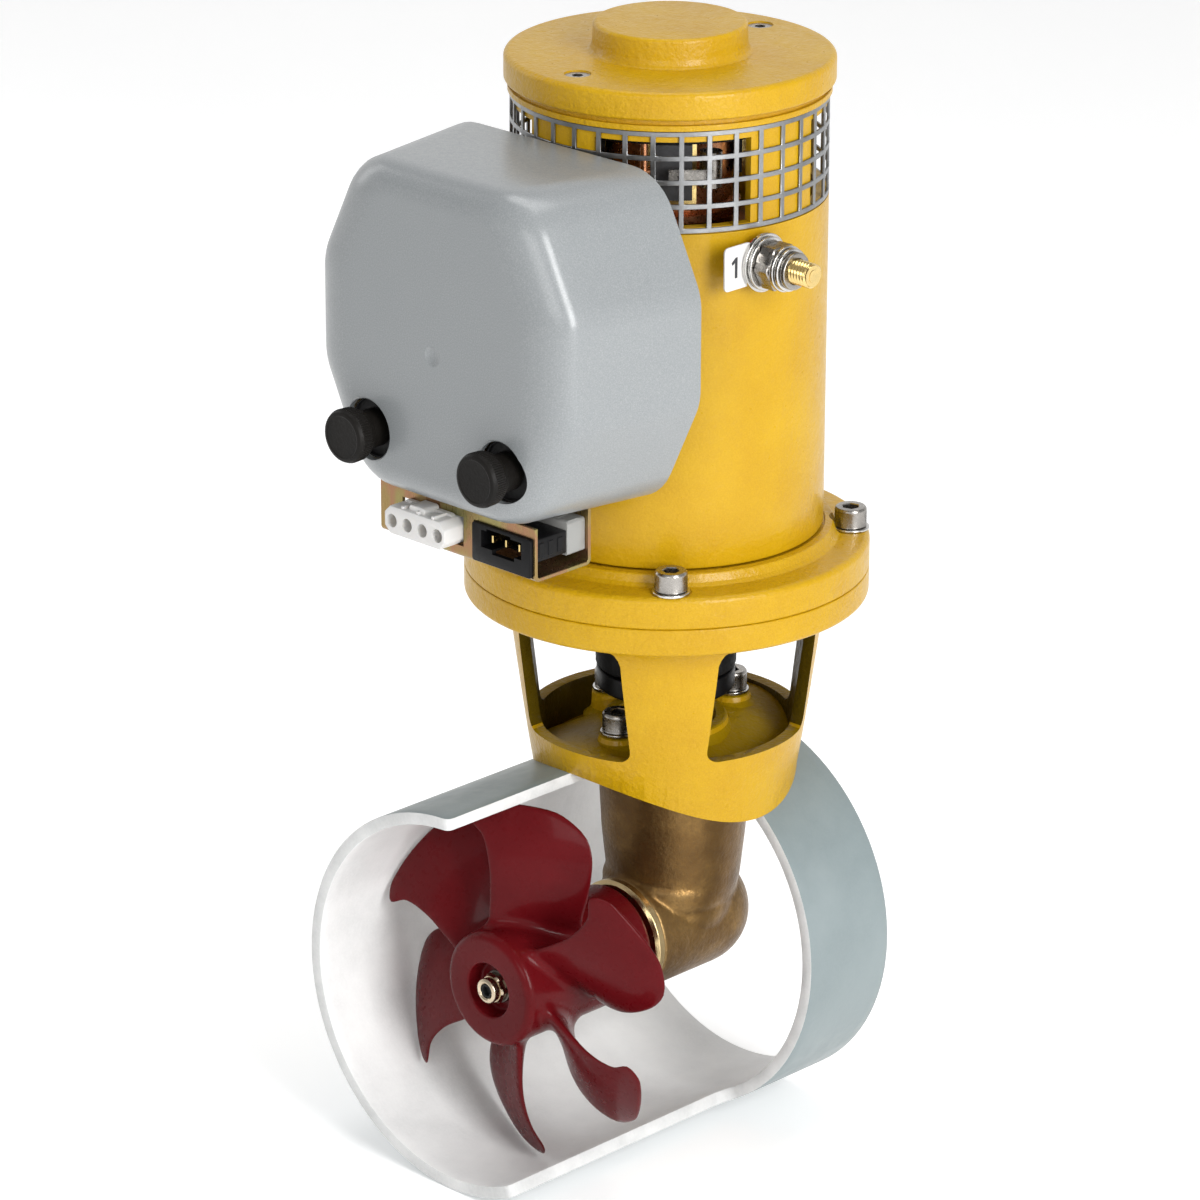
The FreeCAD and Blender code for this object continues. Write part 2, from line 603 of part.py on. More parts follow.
tube = revolve([(Q("body_bore"), Q("body_low")), (Q("body_rad"), Q("body_low")),
                (Q("body_rad"), Q("guard_low", 1, -0.2)), (Q("guard_seat"), Q("guard_low", 1, -0.2)),
                (Q("guard_seat"), Q("body_high")), (Q("body_bore"), Q("body_high"))])
win = [feature(arc_block(50, 70, 30, d("guard_low") + 2.2, 347.6, az)) for az in (45, 135, 225, 315)]
stud_holes = [cyl(6.6, 30, (45, Q("stud_y", -1), Q("stud_z")), (1, 0, 0)),
              cyl(6.6, 30, (-45, Q("stud_y", -1), Q("stud_z")), (-1, 0, 0))]
node("motor_tube", cut(tube, *(win + stud_holes)))

node("pole_shoes", group(*[feature(arc_block(46, 57.45, 17, 204, 286, az).fuse(
    arc_block(42.4, 46, 32, 204, 286, az)).removeSplitter()) for az in (45, 135, 225, 315)]))
node("field_coils", group(*[feature(arc_block(46.4, 56.6, 31, 193, 297, az).cut(
    arc_block(40, 60, 17.4, 203.6, 286.4, az))) for az in (45, 135, 225, 315)]))

core = Part.makeCylinder(d("core_rad"), 82, V(0, 0, 204)).cut(Part.makeCylinder(9.0, 100, V(0, 0, 190)))
for k in range(18):
    s = Part.makeBox(9, 2.4, 90, V(33.5, -1.2, 200))
    s.rotate(V(0, 0, 0), V(0, 0, 1), 20.0 * k)
    core = core.cut(s)
node("armature_core", feature(core))
wind = []
for z0, s in ((203.8, -1), (286.2, 1)):
    wind.append(revolve([(9.6, z0), (38.5, z0), (38.5, z0 + s * 7), (34, z0 + s * 13), (20, z0 + s * 15),
                         (9.6, z0 + s * 12)]))
node("armature_windings", group(*wind))
comm = revolve([(9.1, 305), (28, 305), (28, 308), (Q("commutator_rad"), 309), (Q("commutator_rad"), 338),
                (9.1, 338)])
node("commutator", comm)
node("armature_shaft", revolve([(0, 129.6), (7.0, 129.6), (7.5, 130.4), (7.5, 171), (9.0, 172), (9.0, 353),
                                (7.5, 354), (7.5, 371), (0, 371)]))
node("motor_bearings", group(ring(17.5, 7.54, 11, (0, 0, 158.2)), ring(17.5, 7.54, 11, (0, 0, 360.4))))

cap = revolve([(0, Q("boss_top")), (27.6, Q("boss_top")), (29.4, 378.6), (Q("boss_rad"), 377.0),
               (Q("boss_rad", 1, 0.6), 370.6), (31.8, 368.6), (34.0, Q("cap_top")),
               (Q("cap_rad", 1, -1.6), Q("cap_top")), (Q("cap_rad"), Q("cap_top", 1, -1.6)),
               (Q("cap_rad"), Q("cap_low", 1, 1)), (Q("cap_rad", 1, -0.8), Q("cap_low")),
               (Q("cap_lip"), Q("cap_low")), (Q("cap_lip"), Q("guard_high")),
               (Q("body_bore", 1, -0.1), Q("guard_high")), (Q("body_bore", 1, -0.1), 348.4),
               (55.2, 348.4), (55.2, 359), (17.5, 359), (17.5, 372), (0, 372)])
cap_cuts = []
for sy in (-1, 1):
    cap_cuts.append(cone(2.8, 6.2, 3.4, (0, 51.2 * sy, Q("cap_top", 1, -3.4))))
    cap_cuts.append(cyl(2.8, 30, (0, 51.2 * sy, 345)))
node("end_cap", cut(cap, *cap_cuts))
scr = []
for sy in (-1, 1):
    scr.append(cut(fuse(cone(2.5, 5.9, 3.4, (0, 51.2 * sy, Q("cap_top", 1, -3.5))),
                        cyl(2.5, 196, (0, 51.2 * sy, 168.4))),
                   hexa(4.0, 4, (0, 51.2 * sy, Q("cap_top", 1, -2.2)))))
node("cap_screws", group(*scr))
flange_obj = [o for n, o in NODES if n == "motor_flange"][0]
NODES[:] = [(n, o) for n, o in NODES if n != "motor_flange"]
flange_obj.Label = "motor_flange_blank"
node("motor_flange", cut(flange_obj, cyl(2.5, 30, (0, 51.2, 165)), cyl(2.5, 30, (0, -51.2, 165))))

# perforated guard band: square openings in four rows
r_in, r_out = d("guard_seat") + 0.05, d("guard_seat") + 1.1
band = Part.makeCylinder(r_out, d("guard_high") - 0.1 - d("guard_low"), V(0, 0, d("guard_low"))).cut(
    Part.makeCylinder(r_in, 60, V(0, 0, 305)))
cols, rows_n = 36, 4
pitch_z = (d("guard_high") - 0.1 - d("guard_low")) / rows_n
tools = []
for c in range(cols):
    az = 360.0 / cols * c + 3.0
    for q in range(rows_n):
        s = Part.makeBox(8, 8.6, pitch_z - 2.0, V(57, -4.3, d("guard_low") + q * pitch_z + 1.0))
        s.rotate(V(0, 0, 0), V(0, 0, 1), az)
        tools.append(s)
node("mesh_guard", feature(band.cut(Part.makeCompound(tools))))

# brush gear: insulating ring, four boxes, brushes, springs and copper leads
node("brush_ring", cut(cyl(54, 3.4, (0, 0, 344.6)), cyl(31, 10, (0, 0, 340)),
                       cyl(3.2, 10, (0, 51.2, 340)), cyl(3.2, 10, (0, -51.2, 340))))
AZ = (45, 135, 225, 315)
boxes, springs, leads = [], [], []
for i, az in enumerate(AZ):
    def spun(s):
        s = s.copy()
        s.rotate(V(0, 0, 0), V(0, 0, 1), az)
        return s
    b = Part.makeBox(17, 18.6, 26.4, V(28, -9.3, 318.1)).cut(Part.makeBox(30, 15.4, 22.2, V(20, -7.7, 320.0)))
    boxes.append(feature(spun(b)))
    br = Part.makeBox(21, 15.2, 22.0, V(25.1, -7.6, 320.1)).cut(Part.makeCylinder(d("commutator_rad") + 0.15, 40, V(0, 0, 312)))
    node("brush_%d" % (i + 1), feature(spun(br)))
    coil = Part.makeCylinder(4.4, 14, V(39, 15, 324)).cut(Part.makeCylinder(3.0, 20, V(39, 15, 320)))
    arm = Part.makeBox(1.2, 16.5, 6, V(50.6, -1.5, 328)).fuse(Part.makeBox(9.6, 1.2, 6, V(42.2, 14.4, 328)))
    arm = arm.fuse(Part.makeBox(1.2, 1.6, 6, V(50.6, 14.0, 328)))
    springs.append(feature(spun(coil.fuse(arm).removeSplitter())))
    w = Part.makeCylinder(1.4, 12, V(49, -11, 332.4))
    w = w.fuse(Part.makeSphere(1.4, V(49, -11, 332.4))).fuse(Part.makeCylinder(1.4, 3.1, V(49, -11, 332.4), V(0, 1, 0)))
    leads.append(feature(spun(w.removeSplitter())))
node("brush_boxes", group(*boxes))
node("brush_springs", group(*springs))
node("brush_leads", group(*leads))

# ---------------------------------------------------------- power terminals
studs, bushes, hard = [], [], []
for sx in (1, -1):
    ax = (sx, 0, 0)
    y, z = Q("stud_y", -1), Q("stud_z")
    studs.append(fuse(cyl(Q("stud_rad"), 26.0, (57.0 * sx, y, z), ax),
                      cyl(4.6, 7.6, (83.0 * sx, y, z), ax), cone(4.6, 3.9, 1.0, (90.6 * sx, y, z), ax)))
    tube_cut = cyl(Q("body_rad"), 60, (0, 0, 270))
    bushes.append(cut(cut(fuse(cyl(9.4, 4, (59.6 * sx, y, z), ax), cyl(6.5, 6.6, (57.0 * sx, y, z), ax)),
                          cut(tube_cut, cyl(6.5, 40, (40.0 * sx, y, z), ax))), cyl(Q("stud_rad"), 30, (48.0 * sx, y, z), ax)))
    for x0, w, ro in ((64.8, 1.8, 11.6), (66.8, 1.6, 10.8)):
        hard.append(cut(cyl(ro, w, (x0 * sx, y, z), ax), cyl(Q("stud_rad"), 40, (50.0 * sx, y, z), ax)))
    hard.append(cut(hexa(17.0, 7.6, (68.6 * sx, y, z), ax), cyl(Q("stud_rad"), 40, (50.0 * sx, y, z), ax)))
    hard.append(cut(cyl(9.2, 1.8, (76.4 * sx, y, z), ax), cyl(Q("stud_rad"), 40, (50.0 * sx, y, z), ax)))
    hard.append(cut(cyl(8.6, 4.4, (78.4 * sx, y, z), ax), cyl(Q("stud_rad"), 40, (50.0 * sx, y, z), ax)))
node("terminal_studs", group(*studs))
node("terminal_insulators", group(*bushes))
node("terminal_nuts", group(*hard))
tag = cut(box(1.0, 22.0, 18.0, (63.7, -37.0, Q("stud_z", 1, -10.0))),
          cyl(Q("stud_rad"), 10, (60, Q("stud_y", -1), Q("stud_z")), (1, 0, 0)))
node("terminal_tag", tag)

# --------------------------------------- relay bracket, relays, connectors
t = Q("sheet_t")
lx = Q("plate_half", 2)
x0 = Q("plate_half", -1)
front = box(lx, t, 21.8, (x0, Q("plate_front", -1), Q("plate_low")))
floor = box(lx, 30.3, t, (x0, Q("plate_front", -1), Q("plate_low")))
back = box(lx, t, 138.0, (x0, Q("plate_back", -1, -1.5), Q("plate_low")))
plate = cut(fuse(front, floor, back), box(32.4, 6, 16.2, (9.2, -120, 189.9)),
            box(34.0, 6, 12.2, (-30.3, -120, 193.3)))
spacers = []
for x, z in ((-22, 222), (22, 222), (-22, 312), (22, 312)):
    spacers.append(fuse(cut(cyl(5.0, 30.0, (x, -86.6, z), (0, 1, 0)), cyl(63.0, 200, (0, 0, 170))),
                        cyl(4.5, 2.4, (x, -90.7, z), (0, 1, 0)), cyl(2.5, 6.0, (x, -90, z), (0, 1, 0))))
holes_b = [cyl(2.5, 10, (x, -92, z), (0, 1, 0)) for x, z in ((-22, 222), (22, 222), (-22, 312), (22, 312))]
holes_b += [cyl(3.0, 10, (Q("knob_x", sx), -92, Q("knob_z")), (0, 1, 0)) for sx in (-1, 1)]
node("relay_bracket", cut(plate, *holes_b))
node("bracket_spacers", group(*spacers))
node("knob_studs", group(*[fuse(cyl(3.0, 46.0, (Q("knob_x", sx), -86.4, Q("knob_z")), (0, -1, 0)),
                                cyl(5.5, 3.0, (Q("knob_x", sx), -88.3, Q("knob_z")), (0, -1, 0)))
                           for sx in (-1, 1)]))

cases, coils, contacts = [], [], []
for i, sx in enumerate((-1, 1)):
    x, y = 17.4 * sx, -104.6
    shell_c = cut(fuse(cyl(14.4, 50, (x, y, 246)), box(22, 2.2, 40, (x - 11, -90.6, 250))),
                  cyl(12.6, 38, (x, y, 248)), cyl(10.4, 30, (x, y, 280)), cyl(3.2, 10, (x, y, 243)))
    cases.append(shell_c)
    coils.append(ring(12.4, 7.0, 34, (x, y, 249)))
    for dx in (-7.2, 7.2):
        contacts.append(fuse(cyl(2.6, 16, (x + dx, y, 291.4)), cyl(2.9, 2.0, (x + dx, y, 289.6))))
    cap_c = cut(cyl(14.4, 5, (x, y, 296.1)), cyl(2.7, 10, (x - 7.2, y, 292)), cyl(2.7, 10, (x + 7.2, y, 292)))
    cases.append(cap_c)
    plunger = fuse(cyl(6.6, 32, (x, y, 250.5)), cyl(2.4, 8, (x, y, 243.5)), cyl(9.6, 1.6, (x, y, 284)),
                   cyl(3, 3, (x, y, 281.6)))
    node("relay_plunger_%d" % (i + 1), plunger)
node("relay_cases", group(*cases))
node("relay_coils", group(*coils))
node("relay_contacts", group(*contacts))
node("busbars", group(cut(box(30.6, 9, 1.6, (-27.2 + 11.9, -109.1, 302.2)), cyl(2.65, 8, (-10.2, -104.6, 298)),
                          cyl(2.65, 8, (10.2, -104.6, 298)))))

white = cut(fuse(box(33.4, 14.0, 11.6, (-30.0, -127.0, 193.6)), box(9.0, 8.4, 2.6, (-18.0, -125.6, 205.0))),
            *[cyl(3.1, 9, (-25.6 + 8.2 * k, -119.5, 199.0), (0, -1, 0)) for k in range(4)])
node("white_connector", common(white, box(80, 30, 40, (-40, -127.0, 180))))
blackc = cut(fuse(box(31.8, 2.4, 15.8, (9.5, -118.4, 190.1)), box(31.0, 18.0, 9.4, (10.0, -116.4, 195.6))),
             box(22, 12, 6.4, (14.5, -119, 197.0)),
             *[box(0.9, 16.0, 2.6, (18.0 + 7.2 * k, -115.6, 198.9)) for k in range(3)])
node("black_connector", blackc)
node("connector_pins", group(*[box(0.9, 16.0, 2.6, (18.0 + 7.2 * k, -115.6, 198.9)) for k in range(3)]))
node("terminal_block", box(24, 10.0, 14.0, (17.0, -98.2, 194.0)))

# ---------------------------------------------------------- cover and knobs


def octagon(half, top, low_z, inset, y, rr):
    cx, ct, cl = d("corner_x"), d("corner_top_z"), d("corner_low_z")
    base = [(-half, low_z + cl), (-half, top - ct), (-half + cx, top), (half - cx, top),
            (half, top - ct), (half, low_z + cl), (half - cx, low_z), (-half + cx, low_z)]
    n = len(base)
    mid = (0.0, (top + low_z) / 2)
    lines = []
    for i in range(n):
        p, q = base[i], base[(i + 1) % n]
        tx, tz = q[0] - p[0], q[1] - p[1]
        L = math.hypot(tx, tz)
        tx, tz = tx / L, tz / L
        nx, nz = tz, -tx
        if (mid[0] - p[0]) * nx + (mid[1] - p[1]) * nz < 0:
            nx, nz = -nx, -nz
        lines.append(((p[0] + nx * inset, p[1] + nz * inset), (tx, tz)))
    pts = []
    for i in range(n):
        (p, a), (q, b) = lines[i - 1], lines[i]
        det = a[0] * -b[1] + b[0] * a[1]
        k = ((q[0] - p[0]) * -b[1] + b[0] * (q[1] - p[1])) / det
        pts.append((p[0] + a[0] * k, p[1] + a[1] * k))
    # rounded corners: line, arc, line, arc ...
    segs, ends = [], []
    for i in range(n):
        a, b, c = pts[i - 1], pts[i], pts[(i + 1) % n]
        ua = (a[0] - b[0], a[1] - b[1])
        uc = (c[0] - b[0], c[1] - b[1])
        la, lc = math.hypot(*ua), math.hypot(*uc)
        ua, uc = (ua[0] / la, ua[1] / la), (uc[0] / lc, uc[1] / lc)
        ang = math.acos(max(-1, min(1, ua[0] * uc[0] + ua[1] * uc[1])))
        tl = min(rr / math.tan(ang / 2), 0.46 * la, 0.46 * lc)
        r = tl * math.tan(ang / 2)
        bx, bz = ua[0] + uc[0], ua[1] + uc[1]
        bl = math.hypot(bx, bz)
        cc = (b[0] + bx / bl * r / math.sin(ang / 2), b[1] + bz / bl * r / math.sin(ang / 2))
        m = (cc[0] - bx / bl * r, cc[1] - bz / bl * r)
        s0 = (b[0] + ua[0] * tl, b[1] + ua[1] * tl)
        s1 = (b[0] + uc[0] * tl, b[1] + uc[1] * tl)
        ends.append((s0, m, s1))
    edges = []
    for i in range(n):
        s0, m, s1 = ends[i]
        edges.append(Part.Arc(V(s0[0], y, s0[1]), V(m[0], y, m[1]), V(s1[0], y, s1[1])).toShape())
        nxt = ends[(i + 1) % n][0]
        edges.append(Part.LineSegment(V(s1[0], y, s1[1]), V(nxt[0], y, nxt[1])).toShape())
    return Part.Wire(edges)


def cover_solid(gap, back_y, front_y, rnd):
    hf, hb = d("cover_half_front"), d("cover_half_back")
    yf, yb = -d("cover_front"), -d("cover_back")

    def half(y):
        return hf + (hb - hf) * (y - yf) / (yb - yf)
    rr = d("corner_round")
    wires = []
    for k in range(0, 6):
        al = math.radians(18.0 * k)
        y = front_y + rnd * (1 - math.cos(al))
        ins = gap + rnd * (1 - math.sin(al))
        wires.append(octagon(half(max(y, yf)), d("cover_top"), d("cover_low"), ins, y, max(rr - ins, 6.0)))
    nose = Part.makeLoft(wires, True, True, False)
    w1 = octagon(half(front_y + rnd), d("cover_top"), d("cover_low"), gap, front_y + rnd, max(rr - gap, 6.0))
    w2 = octagon(half(back_y), d("cover_top"), d("cover_low"), gap, back_y, max(rr - gap, 6.0))
    skirt = Part.makeLoft([w1, w2], True, True, False)
    return nose.fuse(skirt)


yf = -d("cover_front")
out_s = cover_solid(0.0, -d("cover_back"), yf, d("front_round"))
in_s = cover_solid(d("cover_wall"), -d("cover_back") + 6.0, yf + d("cover_wall"), d("front_round") - 2.0)
cov = out_s.cut(in_s)
for sx in (-1, 1):
    x, z = sx * d("knob_x"), d("knob_z")
    cup = Part.makeCylinder(14.6, 8.0, V(x, yf + 0.0, z), V(0, 1, 0))
    if cup.isValid():
        cov = cov.fuse(cup.common(out_s))
    cov = cov.cut(Part.makeCylinder(12.6, 5.6, V(x, yf - 0.5, z), V(0, 1, 0)))
    cov = cov.cut(Part.makeCylinder(3.3, 30, V(x, yf - 5, z), V(0, 1, 0)))
cov = cov.cut(Part.makeSphere(9.0, V(0.6, yf - 8.2, 272.5)))
notch_w = d("plate_half") + 1.5
cov = cov.cut(Part.makeBox(2 * notch_w, 40, 12, V(-notch_w, -d("plate_back") - 2.2, d("cover_low") - 4)))
node("cover", feature(cov.removeSplitter()))
for name, sx in (("knob_left", -1), ("knob_right", 1)):
    x, z = sx * d("knob_x"), d("knob_z")
    prof = [(3.05, -125.0), (8.6, -125.0), (8.6, -133.4), (10.6, -134.0), (11.4, -135.2),
            (Q("knob_head_rad", 1, -0.5), -135.6), (Q("knob_head_rad"), -136.4), (Q("knob_head_rad"), -141.0),
            (11.2, -142.6), (9.0, -143.2), (0, -143.4), (0, -133.0), (3.05, -133.0)]
    k = revolve(prof, "y")
    k.Placement = FreeCAD.Placement(V(x, 0, z), FreeCAD.Rotation())
    k.setExpression("Placement.Base.x", Q("knob_x", sx).expr())
    k.setExpression("Placement.Base.z", Q("knob_z").expr())
    node(name, k)

# ------------------------------------------------------------------- write
doc.recompute()
bad = []
for o in doc.Objects:
    if any(s in ("Invalid", "Error") for s in o.State):
        bad.append("%s (%s) state %s" % (o.Name, o.Label, o.State))
seen = set()
for label, o in NODES:
    s = o.Shape
    if s.isNull() or not s.isValid() or not s.Solids:
        bad.append("%s: null, invalid or no solid" % label)
    if label in seen:
        bad.append("%s: label used twice" % label)
    seen.add(label)
if bad:
    print("\n".join(bad))
    sys.exit(1)
os.makedirs("parts", exist_ok=True)
for name in os.listdir("parts"):
    if name.endswith(".step") and name[:-5] not in seen:
        os.remove(os.path.join("parts", name))
for label, o in NODES:
    o.Shape.exportStep("parts/%s.step" % label)
    bb = o.Shape.optimalBoundingBox(False)
    print("%-20s solids %2d vol %9.0f  x %7.1f %7.1f  y %7.1f %7.1f  z %7.1f %7.1f" % (
        label, len(o.Shape.Solids), o.Shape.Volume, bb.XMin, bb.XMax, bb.YMin, bb.YMax, bb.ZMin, bb.ZMax))
print(len(NODES), "nodes")
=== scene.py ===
import bpy, bmesh, json, math
from mathutils import Vector, Matrix, noise, geometry
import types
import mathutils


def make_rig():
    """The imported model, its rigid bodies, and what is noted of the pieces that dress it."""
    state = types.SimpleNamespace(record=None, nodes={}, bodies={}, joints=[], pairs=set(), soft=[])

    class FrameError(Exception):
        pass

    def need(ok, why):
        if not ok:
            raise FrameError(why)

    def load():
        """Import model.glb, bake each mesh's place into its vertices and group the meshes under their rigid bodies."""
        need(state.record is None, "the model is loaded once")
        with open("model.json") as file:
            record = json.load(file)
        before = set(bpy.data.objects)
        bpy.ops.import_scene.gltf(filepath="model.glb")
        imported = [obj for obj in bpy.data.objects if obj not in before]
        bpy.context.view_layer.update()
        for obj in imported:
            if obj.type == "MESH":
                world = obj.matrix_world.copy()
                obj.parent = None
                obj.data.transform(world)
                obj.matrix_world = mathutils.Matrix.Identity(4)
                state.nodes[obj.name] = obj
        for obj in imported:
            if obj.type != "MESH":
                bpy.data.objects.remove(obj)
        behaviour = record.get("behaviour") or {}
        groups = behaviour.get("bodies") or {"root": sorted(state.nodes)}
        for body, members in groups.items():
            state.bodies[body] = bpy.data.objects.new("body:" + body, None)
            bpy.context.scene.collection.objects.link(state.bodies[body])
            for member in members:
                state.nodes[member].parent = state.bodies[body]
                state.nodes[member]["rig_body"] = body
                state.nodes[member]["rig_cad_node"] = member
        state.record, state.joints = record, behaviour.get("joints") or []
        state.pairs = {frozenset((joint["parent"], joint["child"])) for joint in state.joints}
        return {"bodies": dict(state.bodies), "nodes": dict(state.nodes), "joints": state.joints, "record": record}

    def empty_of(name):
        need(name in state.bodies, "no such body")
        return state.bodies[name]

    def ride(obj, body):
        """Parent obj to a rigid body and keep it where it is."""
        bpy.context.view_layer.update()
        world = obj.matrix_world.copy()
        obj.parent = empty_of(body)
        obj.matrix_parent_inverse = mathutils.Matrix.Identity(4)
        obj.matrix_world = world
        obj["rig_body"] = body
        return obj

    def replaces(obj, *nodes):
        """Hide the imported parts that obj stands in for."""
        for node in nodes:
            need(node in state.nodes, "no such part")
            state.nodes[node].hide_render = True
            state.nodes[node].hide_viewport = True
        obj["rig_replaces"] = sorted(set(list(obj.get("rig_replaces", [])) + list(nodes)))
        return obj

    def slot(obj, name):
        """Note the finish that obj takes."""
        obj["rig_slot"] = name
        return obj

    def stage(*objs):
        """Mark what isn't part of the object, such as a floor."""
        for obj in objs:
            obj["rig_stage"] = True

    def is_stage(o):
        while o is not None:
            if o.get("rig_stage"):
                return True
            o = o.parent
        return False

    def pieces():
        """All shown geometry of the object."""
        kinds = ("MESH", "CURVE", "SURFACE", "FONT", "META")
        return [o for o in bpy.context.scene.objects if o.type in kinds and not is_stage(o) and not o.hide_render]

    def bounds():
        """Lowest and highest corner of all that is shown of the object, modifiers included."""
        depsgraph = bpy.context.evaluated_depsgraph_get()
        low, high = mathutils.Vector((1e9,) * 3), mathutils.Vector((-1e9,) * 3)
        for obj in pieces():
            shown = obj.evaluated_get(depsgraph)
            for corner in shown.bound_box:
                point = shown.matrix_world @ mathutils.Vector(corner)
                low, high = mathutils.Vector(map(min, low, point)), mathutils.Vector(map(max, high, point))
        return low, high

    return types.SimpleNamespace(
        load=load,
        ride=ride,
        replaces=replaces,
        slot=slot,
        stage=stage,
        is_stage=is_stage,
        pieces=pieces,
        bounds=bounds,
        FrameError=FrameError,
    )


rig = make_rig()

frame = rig.load()
CAD_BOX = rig.bounds()
MM = 0.001
scene = bpy.context.scene
TAU = 2 * math.pi


# --------------------------------------------------------------- camera, stage
def rad(a):
    return math.radians(a)


AZ, EL, ROLL, DIST = rad(44.278), rad(20.661), rad(0.164), 2.2836
back = Vector((math.sin(AZ) * math.cos(EL), -math.cos(AZ) * math.cos(EL), math.sin(EL)))
right0 = Vector((math.cos(AZ), math.sin(AZ), 0))
up0 = back.cross(right0)
right = right0 * math.cos(ROLL) + up0 * math.sin(ROLL)
up = -right0 * math.sin(ROLL) + up0 * math.cos(ROLL)
target = Vector((-0.01225, -0.02556, 0.14278))
cam_data = bpy.data.cameras.new("camera")
cam_data.sensor_width = 36.0
cam_data.sensor_fit = "HORIZONTAL"
cam_data.lens = 171.21
cam_data.clip_start, cam_data.clip_end = 0.05, 50
cam = bpy.data.objects.new("camera", cam_data)
scene.collection.objects.link(cam)
m = Matrix((right, up, back)).transposed().to_4x4()
m.translation = target + back * DIST
cam.matrix_world = m
scene.camera = cam


# ------------------------------------------------------------------ materials
def mat_new(name):
    mt = bpy.data.materials.new(name)
    mt.use_nodes = True
    nt = mt.node_tree
    return mt, nt, nt.nodes["Principled BSDF"]


def nd(nt, kind, **kw):
    n = nt.nodes.new(kind)
    for k, v in kw.items():
        if k in n.inputs.keys():
            n.inputs[k].default_value = v
        else:
            setattr(n, k, v)
    return n


def coords(nt, scale=(1, 1, 1)):
    tc = nd(nt, "ShaderNodeTexCoord")
    mp = nd(nt, "ShaderNodeMapping")
    mp.inputs["Scale"].default_value = scale
    nt.links.new(tc.outputs["Object"], mp.inputs["Vector"])
    return mp.outputs["Vector"]


def tex_noise(nt, vec, scale, detail=4, rough=0.55, distort=0.0):
    n = nd(nt, "ShaderNodeTexNoise")
    n.inputs["Scale"].default_value = scale
    n.inputs["Detail"].default_value = detail
    n.inputs["Roughness"].default_value = rough
    n.inputs["Distortion"].default_value = distort
    nt.links.new(vec, n.inputs["Vector"])
    return n.outputs["Fac"]


def tex_voro(nt, vec, scale, feature="F1", rnd=1.0):
    n = nd(nt, "ShaderNodeTexVoronoi")
    n.feature = feature
    n.inputs["Scale"].default_value = scale
    n.inputs["Randomness"].default_value = rnd
    nt.links.new(vec, n.inputs["Vector"])
    return n.outputs["Distance"]


def ramp(nt, fac, stops):
    r = nd(nt, "ShaderNodeValToRGB")
    el = r.color_ramp.elements
    while len(el) > 1:
        el.remove(el[-1])
    el[0].position, el[0].color = stops[0][0], (*stops[0][1], 1)
    for p, c in stops[1:]:
        e = el.new(p)
        e.color = (*c, 1)
    nt.links.new(fac, r.inputs["Fac"])
    return r.outputs["Color"]


def remap(nt, fac, lo, hi, a, b):
    r = nd(nt, "ShaderNodeMapRange")
    for k, v in (("From Min", lo), ("From Max", hi), ("To Min", a), ("To Max", b)):
        r.inputs[k].default_value = v
    nt.links.new(fac, r.inputs["Value"])
    return r.outputs["Result"]


def mathn(nt, op, a, b=None, c=None):
    n = nd(nt, "ShaderNodeMath", operation=op)
    for i, v in enumerate((a, b, c)):
        if v is None:
            continue
        if isinstance(v, (int, float)):
            n.inputs[i].default_value = v
        else:
            nt.links.new(v, n.inputs[i])
    return n.outputs[0]


def mixc(nt, fac, a, b, mode="MIX"):
    n = nd(nt, "ShaderNodeMix", data_type="RGBA", blend_type=mode)
    if isinstance(fac, (int, float)):
        n.inputs[0].default_value = fac
    else:
        nt.links.new(fac, n.inputs[0])
    for i, v in ((6, a), (7, b)):
        if isinstance(v, tuple):
            n.inputs[i].default_value = (*v, 1)
        else:
            nt.links.new(v, n.inputs[i])
    return n.outputs[2]


def bump(nt, bsdf, height, strength, dist, prev=None):
    b = nd(nt, "ShaderNodeBump")
    b.inputs["Strength"].default_value = strength
    b.inputs["Distance"].default_value = dist
    nt.links.new(height, b.inputs["Height"])
    if prev is not None:
        nt.links.new(prev, b.inputs["Normal"])
    nt.links.new(b.outputs["Normal"], bsdf.inputs["Normal"])
    return b.outputs["Normal"]


def pointiness(nt):
    return nd(nt, "ShaderNodeNewGeometry").outputs["Pointiness"]


def paint_yellow(name, grain=1.0, tone=(1, 1, 1), spec=0.26, coat=0.10):
    """Gloss industrial enamel over a casting: orange peel, painted shade darkening the hollows, dust."""
    mt, nt, b = mat_new(name)
    v = coords(nt)

    def T(c):
        return tuple(a * b for a, b in zip(c, tone))
    big = tex_noise(nt, v, 38, 3)
    mid = tex_noise(nt, v, 320, 4)
    col = ramp(nt, big, [(0.30, T((0.428, 0.236, 0.0015))), (0.5, T((0.456, 0.260, 0.0020))), (0.72, T((0.484, 0.284, 0.0030)))])
    fine = tex_noise(nt, v, 1500, 2)
    col = mixc(nt, remap(nt, fine, 0.35, 0.7, 0.0, 0.30), col, T((0.60, 0.37, 0.008)))
    # painted shade: hollows (low pointiness) darkened towards a deeper orange
    pt = remap(nt, pointiness(nt), 0.44, 0.50, 1.0, 0.0)
    col = mixc(nt, mathn(nt, "MULTIPLY", pt, 0.35), col, T((0.34, 0.15, 0.003)))
    nt.links.new(col, b.inputs["Base Color"])
    nt.links.new(remap(nt, mid, 0.3, 0.7, 0.27, 0.42), b.inputs["Roughness"])
    b.inputs["Specular IOR Level"].default_value = spec
    b.inputs["Coat Weight"].default_value = coat
    b.inputs["Coat Roughness"].default_value = 0.10
    b.inputs["Coat IOR"].default_value = 1.5
    peel = tex_noise(nt, v, 620, 3, 0.5)
    n1 = bump(nt, b, peel, min(1.0, 1.0 * grain), 0.00034)
    pits = tex_noise(nt, v, 210, 3, 0.6)
    bump(nt, b, pits, 0.75 * grain, 0.0007, n1)
    return mt


